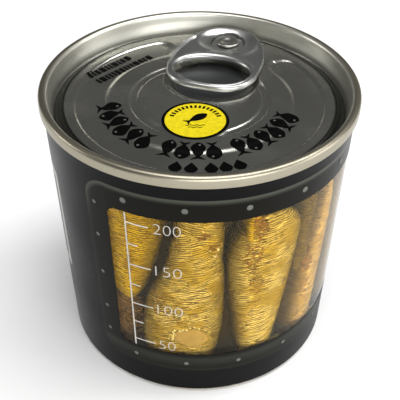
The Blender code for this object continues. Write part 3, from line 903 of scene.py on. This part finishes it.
def spot_edge(turn):
    """The spot's uneven outline, as flat millimetres from its middle."""
    way = Vector((math.cos(turn), math.sin(turn)))
    ragged = 1.0 + 0.35 * noise_at(way.x * 1.3, way.y * 1.3, 3.0)
    ragged += 0.12 * noise_at(way.x * 4.0, way.y * 4.0, 8.0)
    return Vector((way.x * SPOT_HALF_WIDTH, way.y * SPOT_HALF_HEIGHT)) * ragged


def spot_lens():
    bm = bmesh.new()
    bmesh.ops.create_uvsphere(bm, u_segments=48, v_segments=32, radius=1.0)
    for vert in bm.verts:
        x, y, out = vert.co.x, vert.co.z, -vert.co.y
        flat = spot_edge(math.atan2(y, x)) * math.hypot(x, y)
        vert.co = on_wall(flat.x, flat.y, SPOT_DEPTH * (1.0 - out))
    return bm


def bubbles():
    draw = random.Random(3)
    places = []
    for index in range(BUBBLE_COUNT):
        turn = BUBBLES_FROM + BUBBLES_SPAN * index / (BUBBLE_COUNT - 1) + draw.uniform(-4.0, 4.0)
        flat = spot_edge(math.radians(turn)) * draw.uniform(1.04, 1.22)
        places.append((flat.x, flat.y, draw.uniform(0.15, 0.32)))
    for index in range(CREASE_BUBBLES):
        x = CREASE_BUBBLE_PLACE[0] + draw.uniform(-1.6, 1.2)
        y = CREASE_BUBBLE_PLACE[1] + draw.uniform(-1.5, 1.5)
        places.append((x, y, draw.uniform(0.12, 0.26)))
    bm = bmesh.new()
    for x, y, radius in places:
        made = bmesh.ops.create_uvsphere(bm, u_segments=16, v_segments=12, radius=radius)
        bmesh.ops.translate(bm, vec=on_wall(x, y, radius + 0.02), verts=made["verts"])
    return bm


def mottled(finish, scale, detail, first, second):
    """Blend a finish's colour between two by noise."""
    finish.feed("Base Color", mix(grain(finish.place, scale, detail), first, second))


spot_finish = Finish("wet_spot", roughness=0.25)
mottled(spot_finish, 500.0, 3.0, (0.2, 0.125, 0.035), (0.34, 0.23, 0.085))
carried(shaped("wet_spot", spot_lens(), spot_finish))
# The bubbles' pale colours are painted glints: a bubble is clear air, and its brightness is reflected
# light.
bubble_glint_finish = Finish("bubble", roughness=0.12, specular_ior_level=0.8)
mottled(bubble_glint_finish, 1600.0, 1.0, (0.22, 0.15, 0.05), (1.0, 0.92, 0.68))
carried(shaped("oil_bubbles", bubbles(), bubble_glint_finish))

# %% [markdown]
# Behind the sleeve the packing goes on all round, out of sight, so those fish are plainer: they
# alternate heads and tails at an even pitch. A dark core fills the middle, where only the gaps
# between fish show it: its near-black colour is painted shade, for the shaded depth among the fish.

# %% Hidden fish and core
HIDDEN_FROM = 104.0
HIDDEN_TO = 300.0
HIDDEN_COUNT = 8
HIDDEN_NARROW = 9.0
HIDDEN_WIDE = 13.5
HIDDEN_ROWS = ((6, 0.3), (12, 0.0), (34, 0.5), (56, 1.0), (61, 0.7))

for index in range(HIDDEN_COUNT):
    azimuth = HIDDEN_FROM + index * (HIDDEN_TO - HIDDEN_FROM) / (HIDDEN_COUNT - 1)
    rows = []
    for height, share in HIDDEN_ROWS:
        share = 1.0 - share if index % 2 == 0 else share
        half = HIDDEN_NARROW + share * (HIDDEN_WIDE - HIDDEN_NARROW)
        rows.append((height, azimuth - half, azimuth + half))
    show_fish("hidden_sprat_%d" % index, rows, 0.3, SKINS["gold"], 50.0 + index, detail=0.35)

core_bm = turned([(0.0, 60.0), (24.0, 59.0), (27.0, 55.0), (27.5, 8.0), (26.0, 4.2), (0.0, 4.2)], 72)
# The core's near-black colour is painted shade, not the colour of the oil.
shade_core_finish = Finish("painted_shade_core", roughness=0.5, specular_ior_level=0.1)
mottled(shade_core_finish, 55.0, 2.0, (0.01, 0.005, 0.001), (0.035, 0.019, 0.004))
carried(shaped("fish_core", core_bm, shade_core_finish), "sprats")

# %% [markdown]
# The end is one pressed sheet of lacquered steel. Its seam is rolled over the cup's flange, the
# chuck wall drops to a narrow countersink, and shapes are pressed down into the panel to stiffen it:
# a round bead, a broad C-shaped band that is open at the tab, and a well for the fingertip. Their
# right-facing walls catch the light, as the nose's recess does. The whole section is spun once with
# many steps, and the panel's vertices are then moved by a function that gives the height anywhere.

# %% Pressed shapes of the panel
PANEL_Z = CAN_HEIGHT - 4.45
TAB_ANGLE = 74.5
TAB_WAY = math.radians(TAB_ANGLE)
BEAD_RADIUS = 15.9
BEAD_HALF_WIDTH = 0.5
BEAD_DEPTH = 0.3
BAND_RADIUS = 26.3
BAND_HALF_WIDTH = 3.1
BAND_DEPTH = 0.42
BAND_GAP_HALF_ANGLE = 39.0
WELL_ALONG = 9.6
WELL_SEMI_ALONG = 11.4
WELL_SEMI_ACROSS = 12.3
WELL_DEPTH = 0.9
WELL_SLOPE_SHARE = 0.2
ROUNDEL_X = -0.95
ROUNDEL_Y = -9.75
ROUNDEL_RADIUS = 7.85
SLOPE = 0.8
BAND_INNER_SLOPE = 1.7


def tab_point(along, across, z):
    """A point of the tab's own frame, which runs from the can's axis out to the nose."""
    x = along * math.cos(TAB_WAY) + across * math.sin(TAB_WAY)
    return Vector((x, along * math.sin(TAB_WAY) - across * math.cos(TAB_WAY), z))


def panel_height(x, y):
    radius = math.hypot(x, y)
    off_tab = (math.degrees(math.atan2(y, x)) - TAB_ANGLE + 180.0) % 360.0 - 180.0
    bead = BEAD_DEPTH * smoothstep(1.0 - (abs(radius - BEAD_RADIUS) - BEAD_HALF_WIDTH) / SLOPE)
    bead *= smoothstep((math.hypot(x - ROUNDEL_X, y - ROUNDEL_Y) - ROUNDEL_RADIUS) / SLOPE)
    if abs(off_tab) > BAND_GAP_HALF_ANGLE:
        distance = abs(radius - BAND_RADIUS)
    else:
        end = math.radians(TAB_ANGLE + math.copysign(BAND_GAP_HALF_ANGLE, off_tab))
        distance = math.hypot(x - BAND_RADIUS * math.cos(end), y - BAND_RADIUS * math.sin(end))
    slope = BAND_INNER_SLOPE if radius < BAND_RADIUS else SLOPE
    band = BAND_DEPTH * smoothstep(1.0 - (distance - BAND_HALF_WIDTH) / slope)
    along = x * math.cos(TAB_WAY) + y * math.sin(TAB_WAY) - WELL_ALONG
    across = x * math.sin(TAB_WAY) - y * math.cos(TAB_WAY)
    reach = math.hypot(along / WELL_SEMI_ALONG, across / WELL_SEMI_ACROSS)
    well = smoothstep((1.0 - reach) / WELL_SLOPE_SHARE)
    return PANEL_Z - max(bead, band) * (1.0 - well) - WELL_DEPTH * well


print("panel lies", round(CAN_HEIGHT - PANEL_Z, 2), "below the seam's top")

# %% Steel finishes
CHUCK_FROM = 32.4
CHUCK_SHEEN_COLOUR = (0.7, 0.69, 0.62)
GROOVE_FROM = 32.1
GROOVE_TO = 35.0
GROOVE_SHADE_COLOUR = (0.09, 0.09, 0.08)
SEAM_FROM = 36.0
SEAM_COLOUR = (0.36, 0.33, 0.255)
RIM_GLOSS = 0.38
WELL_MIDDLE = (2.57, 9.25)
WELL_SHADE_RADIUS = 11.0
WELL_SHADE_CORE = 7.0
WELL_SHADE_COLOUR = (0.2, 0.21, 0.21)
WELL_GLOSS = 0.33


def distance_from(place, x, y):
    """Distance in metres, seen from above, between a place and a point given in millimetres."""
    tree = place.id_data
    sockets = {0: place, 1: (x * MM, y * MM, 0.0)}
    moved = add_node(tree, "ShaderNodeVectorMath", sockets, operation="SUBTRACT")
    sockets = {0: moved.outputs[0], 1: (1.0, 1.0, 0.0)}
    flat = add_node(tree, "ShaderNodeVectorMath", sockets, operation="MULTIPLY")
    return add_node(tree, "ShaderNodeVectorMath", {0: flat.outputs[0]}, operation="LENGTH").outputs["Value"]


def make_steel(name, colour, low_gloss, high_gloss, rolling, rim=False, wave=0.1):
    """Rolled steel: smudged gloss and a faint grain one way. An end also has a satin rim with a pale
    painted sheen, and painted shade in its finger well and its countersink groove.
    """
    finish = Finish(name, base_color=colour, metallic=1.0)
    handled = finish.use(
        handled_group, place=finish.place, smudge_scale=70.0,
        low_gloss=low_gloss, high_gloss=high_gloss, wave_scale=110.0,
    )
    gloss = handled["Roughness"]
    if rim:
        radius = distance_from(finish.place, 0.0, 0.0)
        from_well = distance_from(finish.place, *WELL_MIDDLE)
        # From the chuck wall outward the steel is rougher satin, and its paler colour is painted sheen.
        satin = ramp(radius, CHUCK_FROM * MM, (CHUCK_FROM + 1.0) * MM)
        seam = ramp(radius, SEAM_FROM * MM, (SEAM_FROM + 0.8) * MM)
        # Painted shade: the colour darkens inside the finger well under the tab.
        well = ramp(from_well, WELL_SHADE_RADIUS * MM, WELL_SHADE_CORE * MM)
        # Painted shade: a dark ring along the countersink groove.
        groove = times(
            ramp(radius, GROOVE_FROM * MM, (GROOVE_FROM + 0.3) * MM),
            ramp(radius, GROOVE_TO * MM, (GROOVE_TO - 0.3) * MM),
        )
        shade = mix(satin, mix(well, colour, WELL_SHADE_COLOUR), CHUCK_SHEEN_COLOUR)
        finish.feed("Base Color", mix(seam, mix(groove, shade, GROOVE_SHADE_COLOUR), SEAM_COLOUR))
        gloss = calc("MAXIMUM", gloss, times(satin, RIM_GLOSS))
        gloss = calc("MAXIMUM", gloss, times(well, WELL_GLOSS))
    finish.feed("Roughness", gloss)
    sockets = {"Vector": finish.place, "Scale": (60.0, 2600.0, 60.0)}
    stretch = add_node(finish.tree, "ShaderNodeMapping", sockets).outputs["Vector"]
    finish.bump(calc("ADD", times(grain(stretch, 1.0), rolling), handled["Height"]), wave, 0.0003)
    return finish


tinplate = make_steel("tinplate", (0.52, 0.515, 0.465), 0.23, 0.31, 0.1, rim=True)
tab_steel = make_steel("tab_steel", (0.5, 0.5, 0.49), 0.3, 0.36, 0.04, wave=0.02)
print("steels:", tinplate.material.name, tab_steel.material.name)

# %% Metal end
LID_STEPS = 288
PANEL_LOOPS = 170


def lid_section():
    top = CAN_HEIGHT
    seam_foot = top - 2.85
    hook = [(SEAM_RADIUS - 0.42, seam_foot + 0.12)]
    hook += arc_points((SEAM_RADIUS - 0.28, seam_foot + 0.28), (0.28, 0.28), -120.0, 0.0, 6)
    crown = arc_points((SEAM_RADIUS - 0.95, top - 0.95), (0.95, 0.95), 0.0, 90.0, 8)
    crown += arc_points((SEAM_RADIUS - 1.15, top - 0.9), (0.9, 0.9), 90.0, 176.0, 8)
    chuck = [(35.85, top - 1.8), (35.7, top - 2.8), (35.45, top - 3.7), (35.15, top - 4.8)]
    countersink = arc_points((34.25, top - 5.0), (0.85, 0.85), -10.0, -170.0, 10) + [(33.3, top - 4.75)]
    shoulder = arc_points((32.65, PANEL_Z - 0.35), (0.55, 0.55), 20.0, 95.0, 6)
    panel = [(31.9 - 31.4 * index / PANEL_LOOPS, PANEL_Z) for index in range(PANEL_LOOPS + 1)]
    under = [(0.0, PANEL_Z), (0.0, PANEL_Z - 1.3), (32.6, PANEL_Z - 1.3), (33.1, top - 5.95)]
    under += [(34.3, top - 6.3), (35.3, top - 5.9), (35.47, top - 4.8), (36.0, top - 2.8)]
    under += [(36.5, top - 1.1), (36.75, top - 0.8), (37.35, top - 0.8), (SEAM_RADIUS - 0.42, top - 1.05)]
    return hook + crown + chuck + countersink + shoulder + panel + under


end_bm = turned(lid_section(), LID_STEPS)
for vert in end_bm.verts:
    if abs(vert.co.z - PANEL_Z) < 0.01 and math.hypot(vert.co.x, vert.co.y) < 31.95:
        vert.co.z = panel_height(vert.co.x, vert.co.y)
carried(shaped("metal_end", end_bm, tinplate, sharp=60.0), "lid")

# %% [markdown]
# The rivet is drawn up out of the panel and flattened over the tab's tongue. It is a small turned
# button, sunk a little into the panel, and its head is dished.

# %% Rivet and tongue
RIVET_ALONG = 27.0
RIVET_STEM = 1.9
RIVET_HEAD = 2.9
TONGUE_RADIUS = 4.1
TONGUE_LOW_Z = 0.3
TONGUE_HIGH_Z = 0.7


def at_rivet(profile):
    """Turn a profile of (radius, height above the panel) about the rivet's axis."""
    bm = turned([(radius, PANEL_Z + above) for radius, above in profile], 64)
    bmesh.ops.translate(bm, vec=tab_point(RIVET_ALONG, 0.0, 0.0), verts=bm.verts)
    return bm


button = [(0.0, -0.4), (RIVET_STEM, -0.4), (RIVET_STEM, 1.0)]
button += arc_points((RIVET_HEAD - 0.28, 1.28), (0.28, 0.28), -90.0, 90.0, 6)
button += [(2.2, 1.58), (1.7, 1.5), (1.3, 1.22), (0.7, 1.15), (0.0, 1.15)]
carried(shaped("rivet_button", at_rivet(button), tinplate))
tongue = [
    (RIVET_STEM + 0.02, TONGUE_LOW_Z), (TONGUE_RADIUS - 0.1, TONGUE_LOW_Z),
    (TONGUE_RADIUS, TONGUE_LOW_Z + 0.1), (TONGUE_RADIUS, TONGUE_HIGH_Z - 0.1),
    (TONGUE_RADIUS - 0.1, TONGUE_HIGH_Z), (RIVET_STEM + 0.02, TONGUE_HIGH_Z),
]
carried(shaped("tongue_plate", at_rivet(tongue), tab_steel), "tab_tongue")

# %% [markdown]
# The tab is a strip whose edges are curled under, so it looks like a soft wire all round with a
# thinner web between. Sections are laid from the outline in to the finger hole, and neighbouring
# sections are bridged, which gives one closed ring. The nose's recess is sunk by lowering vertices
# inside its outline, and the notch round the rivet is cut last.

# %% Pull tab shape
TAB_BOTTOM_Z = CAN_HEIGHT - 3.85
TAB_TOP_Z = CAN_HEIGHT - 2.15
TAB_CENTRE = 14.5
TAB_NOSE = (18.9, 2.1)
TAB_RING = (12.3, 2.8)
TAB_HALF_WIDTH = 11.65
HOLE_CENTRE = 10.6
HOLE_SEMI_ALONG = 6.75
HOLE_SEMI_ACROSS = 9.65
NOTCH_RADIUS = 4.5
TAB_SECTIONS = 320
WEB_STEPS = 12
WEB_SINK = 0.5
RECESS_CENTRE = 25.7
RECESS_RING_SIDE = 5.3
RECESS_NOSE_SIDE = 6.5
RECESS_HALF_WIDTH = 7.3
RECESS_WALL_SHARE = 0.3
LIP_HEIGHT = 0.3
LIP_SHARE = 0.16


def tab_outline(angle):
    reach, bluntness = TAB_NOSE if math.cos(angle) > 0 else TAB_RING
    along = TAB_CENTRE + reach * power(math.cos(angle), 2.0 / bluntness)
    return Vector((along, TAB_HALF_WIDTH * power(math.sin(angle), 2.0 / bluntness)))


def tab_hole(angle):
    return Vector((HOLE_CENTRE + HOLE_SEMI_ALONG * math.cos(angle), HOLE_SEMI_ACROSS * math.sin(angle)))


def tab_section(width):
    """From the outline, at 0, over the top to the finger hole, at width, and back underneath."""
    half = (TAB_TOP_Z - TAB_BOTTOM_Z) / 2
    middle_z = TAB_BOTTOM_Z + half
    outer = min(0.8, width * 0.36)
    inner = min(1.1, width * 0.32)
    drop = WEB_SINK * smoothstep((width - 1.7) / 3.0)
    points = arc_points((outer, middle_z), (-outer, half), -70.0, 110.0, 10)
    start = points[-1][0]
    spare = max(width - inner * 1.35 - start, 0.02)
    for index in range(1, WEB_STEPS):
        share = index / WEB_STEPS
        edge = min(share * spare, (1.0 - share) * spare)
        sink = drop * smoothstep(edge / min(0.9, spare / 2))
        points.append((start + share * spare, TAB_TOP_Z - 0.06 - sink))
    return points + arc_points((width - inner, middle_z), (inner, half), 110.0, -70.0, 10)


def nose_recess(along, across):
    """How far the D-shaped recess of the nose presses a place down, and the lip round it lifts it."""
    reach = RECESS_RING_SIDE if along < RECESS_CENTRE else RECESS_NOSE_SIDE
    away = (abs((along - RECESS_CENTRE) / reach) ** 2.5 + abs(across / RECESS_HALF_WIDTH) ** 2.5) ** 0.4
    return smoothstep((1.0 - away) / RECESS_WALL_SHARE), smoothstep(1.0 - abs(away - 1.06) / LIP_SHARE)


def tab_ring():
    bm = bmesh.new()
    loops = []
    web_top = TAB_BOTTOM_Z + 0.5
    for index in range(TAB_SECTIONS):
        angle = math.tau * (index + 0.5) / TAB_SECTIONS
        outer, inner = tab_outline(angle), tab_hole(angle)
        width = (inner - outer).length
        way = (inner - outer) / width
        verts = []
        for distance, z in tab_section(width):
            flat = outer + way * distance
            pressed, lip = nose_recess(flat.x, flat.y)
            if z > web_top:
                z += min(LIP_HEIGHT, TAB_TOP_Z - z) * lip
                z += (web_top - z) * pressed
            verts.append(bm.verts.new(tab_point(flat.x, flat.y, z)))
        loops.append([bm.edges.new((verts[i], verts[(i + 1) % len(verts)])) for i in range(len(verts))])
    for index, near in enumerate(loops):
        bmesh.ops.bridge_loops(bm, edges=near + loops[(index + 1) % len(loops)])
    return bm


tab = shaped("ring_tab", tab_ring(), tab_steel, sharp=50.0)
notch = bmesh.new()
bmesh.ops.create_cone(
    notch, cap_ends=True, segments=64, radius1=NOTCH_RADIUS, radius2=NOTCH_RADIUS, depth=6.0
)
bmesh.ops.translate(notch, vec=tab_point(RIVET_ALONG, 0.0, TAB_BOTTOM_Z), verts=notch.verts)
carried(cut(tab, shaped("notch", notch, tab_steel)), "pull_tab", body="tab")

# %% [markdown]
# The end's black and yellow print follows the real one in colour and size, but with plain motifs:
# two rows of small fish swim round the front in place of words, drops stand below them, a yellow
# roundel shows a fish over waves, and short strokes take the place of a stamped code.

# %% Shapes for the print on the end


def draped(centre_x, centre_y, turn=0.0, lift=0.012):
    """A function that lays flat millimetres on the panel, turned and moved."""
    angle = math.radians(turn)

    def place(x, y, above):
        across = centre_x + x * math.cos(angle) - y * math.sin(angle)
        up = centre_y + x * math.sin(angle) + y * math.cos(angle)
        return Vector((across, up, panel_height(across, up) + lift + above))
    return place


def arched(radius, middle_angle, lift=0.012):
    """A function that bends flat millimetres along a circle of the panel. Flat up points inward."""
    def place(x, y, above):
        angle = math.radians(middle_angle) + x / radius
        reach = radius - y
        across, up = reach * math.cos(angle), reach * math.sin(angle)
        return Vector((across, up, panel_height(across, up) + lift + above))
    return place


def flat_fish(length, height, turn=0.0):
    """A fish's outline, head at +x: a grid squeezed to the body's depth and spread at the tail."""
    bm = rectangle(-0.5, -0.5, 1.0, 1.0, step=1.0 / 28)
    for vert in bm.verts:
        along, side = vert.co.x + 0.5, vert.co.y * 2.0
        from_tail = min(1.0, max(0.0, (along - 0.14) / 0.86))
        body = math.sin(math.pi * from_tail ** 1.35) ** 0.75 if from_tail < 1.0 else 0.0
        tail = 0.9 * max(0.0, 1.0 - along / 0.24) ** 0.75
        depth = max(body, tail, 0.14 if along < 0.5 else 0.02)
        notch = 0.09 * max(0.0, 1.0 - along / 0.16) * (1.0 - abs(side))
        vert.co.x = (along + notch - 0.5) * length
        vert.co.y = side * depth * height / 2
    bmesh.ops.dissolve_degenerate(bm, dist=0.002, edges=bm.edges)
    bmesh.ops.rotate(bm, cent=(0, 0, 0), matrix=Matrix.Rotation(turn, 3, "Z"), verts=bm.verts)
    return bm


def flat_drop(width, height):
    bm = disc(0.0, 0.0, 0.5, segments=40)
    for vert in bm.verts:
        squeeze = 1.0 if vert.co.y < 0 else (1.0 - vert.co.y * 2.0) ** 0.6
        vert.co.x *= width * squeeze
        vert.co.y *= height if vert.co.y > 0 else width
    return bm


black_ink = ink_finish("black_ink", (0.002, 0.002, 0.002), roughness=0.5, shine=0.03)
pale_ink = ink_finish("pale_ink", (0.1, 0.1, 0.09))
yellow_ink = ink_finish("yellow_ink", (0.72, 0.58, 0.01))
print("inks:", [ink.material.name for ink in (black_ink, pale_ink, yellow_ink)])

# %% Shoal
SHOAL_FROM = 186.5
SHOAL_TO = 343.5
SHOAL_RADIUS = 21.75
SHOAL_GROUPS = (6, 4, 6)
SHOAL_SPACE = 0.75
SHOAL_LENGTH = 6.1
SHOAL_WIDTH = 3.5
EYE_RADIUS = 0.3
DROP_ANGLES = (259.5, 266.5, 275.5, 282.0, 288.5)
DROP_RADIUS = 28.0

slots = sum(SHOAL_GROUPS) + SHOAL_SPACE * (len(SHOAL_GROUPS) - 1)
pitch = (SHOAL_TO - SHOAL_FROM) / slots
shoal = []
eyes = []
angle = SHOAL_FROM + pitch / 2
for group in SHOAL_GROUPS:
    for index in range(group):
        side = 1.0 if index % 2 == 0 else -1.0
        fish = flat_fish(SHOAL_LENGTH, SHOAL_WIDTH, side * math.pi / 2)
        shoal.append(laid(fish, arched(SHOAL_RADIUS, angle)))
        eye = disc(0.35 * side, 0.32 * SHOAL_LENGTH * side, EYE_RADIUS, segments=16)
        eyes.append(laid(eye, arched(SHOAL_RADIUS, angle), thickness=0.06))
        angle += pitch
    angle += pitch * SHOAL_SPACE
for angle in DROP_ANGLES:
    shoal.append(laid(flat_drop(3.0, 4.4), arched(DROP_RADIUS, angle)))
printed("shoal_eyes", eyes, pale_ink)
printed("printed_shoal", shoal, black_ink)

# %% Roundel
ROUNDEL_RIM = 0.75
ROUNDEL_RINGS = 30
ROUNDEL_MARK_LIFT = 0.1
DASH_COUNT = 15
DASHES_FROM = 18.0
DASHES_SPAN = 144.0
WAVE_WIDTHS = (4.6, 3.2)


def filled_disc(radius):
    """A disc made of rings, so that it can follow the panel's shapes."""
    rings = [(radius * index / ROUNDEL_RINGS, 0.0) for index in range(ROUNDEL_RINGS + 1)]
    return turned(rings, 120, closed=False)


def on_roundel(x=0.0, y=0.0, turn=0.0, lift=ROUNDEL_MARK_LIFT):
    return draped(ROUNDEL_X + x, ROUNDEL_Y + y, turn, lift)


for name, radius, lift, ink in (
    ("roundel_rim", ROUNDEL_RADIUS, 0.012, black_ink),
    ("roundel_field", ROUNDEL_RADIUS - ROUNDEL_RIM, 0.06, yellow_ink),
):
    printed(name, [laid(filled_disc(radius), on_roundel(lift=lift))], ink)
marks = [laid(flat_fish(6.4, 2.5), on_roundel(0.2, 0.7, 38.0))]
for index, width in enumerate(WAVE_WIDTHS):
    wave = rectangle(-width / 2, -0.12, width, 0.24, step=0.2)
    for vert in wave.verts:
        vert.co.y += 0.16 * math.sin(vert.co.x * 4.2)
    marks.append(laid(wave, on_roundel(0.0, -2.2 - 0.85 * index)))
for index in range(DASH_COUNT):
    angle = DASHES_FROM + DASHES_SPAN * index / (DASH_COUNT - 1)
    marks.append(laid(rectangle(5.15, -0.28, 1.1, 0.56, step=0.6), on_roundel(turn=angle)))
printed("roundel_marks", marks, black_ink)

# %% Code strokes
CODE_START = Vector((-27.0, 9.6))
CODE_TURN = 46.0
CODE_LENGTHS = (13.5, 17.0)
CODE_LINE_GAP = 3.6
STROKE_WIDTHS = (0.6, 1.0, 1.4)
STROKE_HEIGHT = 2.1
STROKE_GAP = 0.45

draw = random.Random(7)
strokes = []
code_way = Vector((math.cos(math.radians(CODE_TURN)), math.sin(math.radians(CODE_TURN))))
code_down = Vector((code_way.y, -code_way.x))
for line_number, length in enumerate(CODE_LENGTHS):
    x = 0.0
    while x < length:
        stroke = draw.choice(STROKE_WIDTHS)
        start = CODE_START + code_way * x + code_down * CODE_LINE_GAP * line_number
        flat = rectangle(0.0, 0.0, stroke, STROKE_HEIGHT, step=0.3)
        strokes.append(laid(flat, draped(start.x, start.y, CODE_TURN, lift=0.05)))
        x += stroke + STROKE_GAP
printed("code_strokes", strokes, black_ink)

# %% [markdown]
# The can stands on a plain pale floor. Soft lamps do the rest: a wide one above and one in front, one
# to each side for the long highlights of the seam and the tab, a small one high on the right that
# draws the edges of the pressed shapes, and a dim sky, because the panel mirrors the part of it
# behind the can and has to stay dark.

# %% Floor and light
FLOOR_SIZE = 3.0
SKY = 0.1
LAMP_AIM = Vector((0.0, 0.0, 0.04))
# Name, place, size and watts, in metres
LAMPS = (
    ("lamp_front", (0.3, -0.85, 0.22), (1.0, 0.42), 7.8),
    ("lamp_above", (0.05, -0.12, 1.1), (0.7, 0.7), 9.0),
    ("lamp_high_right", (0.58, 0.13, 0.92), (0.35, 0.35), 4.0),
    ("lamp_left", (-0.8, 0.1, 0.3), (0.25, 0.3), 1.2),
    ("lamp_right", (0.85, -0.1, 0.25), (0.5, 0.45), 2.8),
)

floor_bm = bmesh.new()
bmesh.ops.create_grid(floor_bm, x_segments=1, y_segments=1, size=FLOOR_SIZE / 2 / MM)
paper = Finish("pale_floor", roughness=0.9, base_color=(0.93, 0.93, 0.93))
paper.bump(grain(paper.place, 300.0), 0.02, 0.0005)
shaped("floor", floor_bm, paper)

world = bpy.data.worlds.new("sky")
world.use_nodes = True
sky = world.node_tree.nodes["Background"]
fill(sky.inputs["Color"], (1.0, 1.0, 1.0))
fill(sky.inputs["Strength"], SKY)
bpy.context.scene.world = world

for name, place, size, watts in LAMPS:
    light = bpy.data.lights.new(name, "AREA")
    light.shape = "RECTANGLE"
    light.size, light.size_y = size
    light.energy = watts
    lamp = bpy.data.objects.new(name, light)
    bpy.context.scene.collection.objects.link(lamp)
    lamp.location = Vector(place)
    lamp.rotation_euler = (LAMP_AIM - Vector(place)).to_track_quat("-Z", "Y").to_euler()
bpy.context.scene.view_settings.view_transform = "Standard"
print("lamps:", [name for name, *_ in LAMPS])
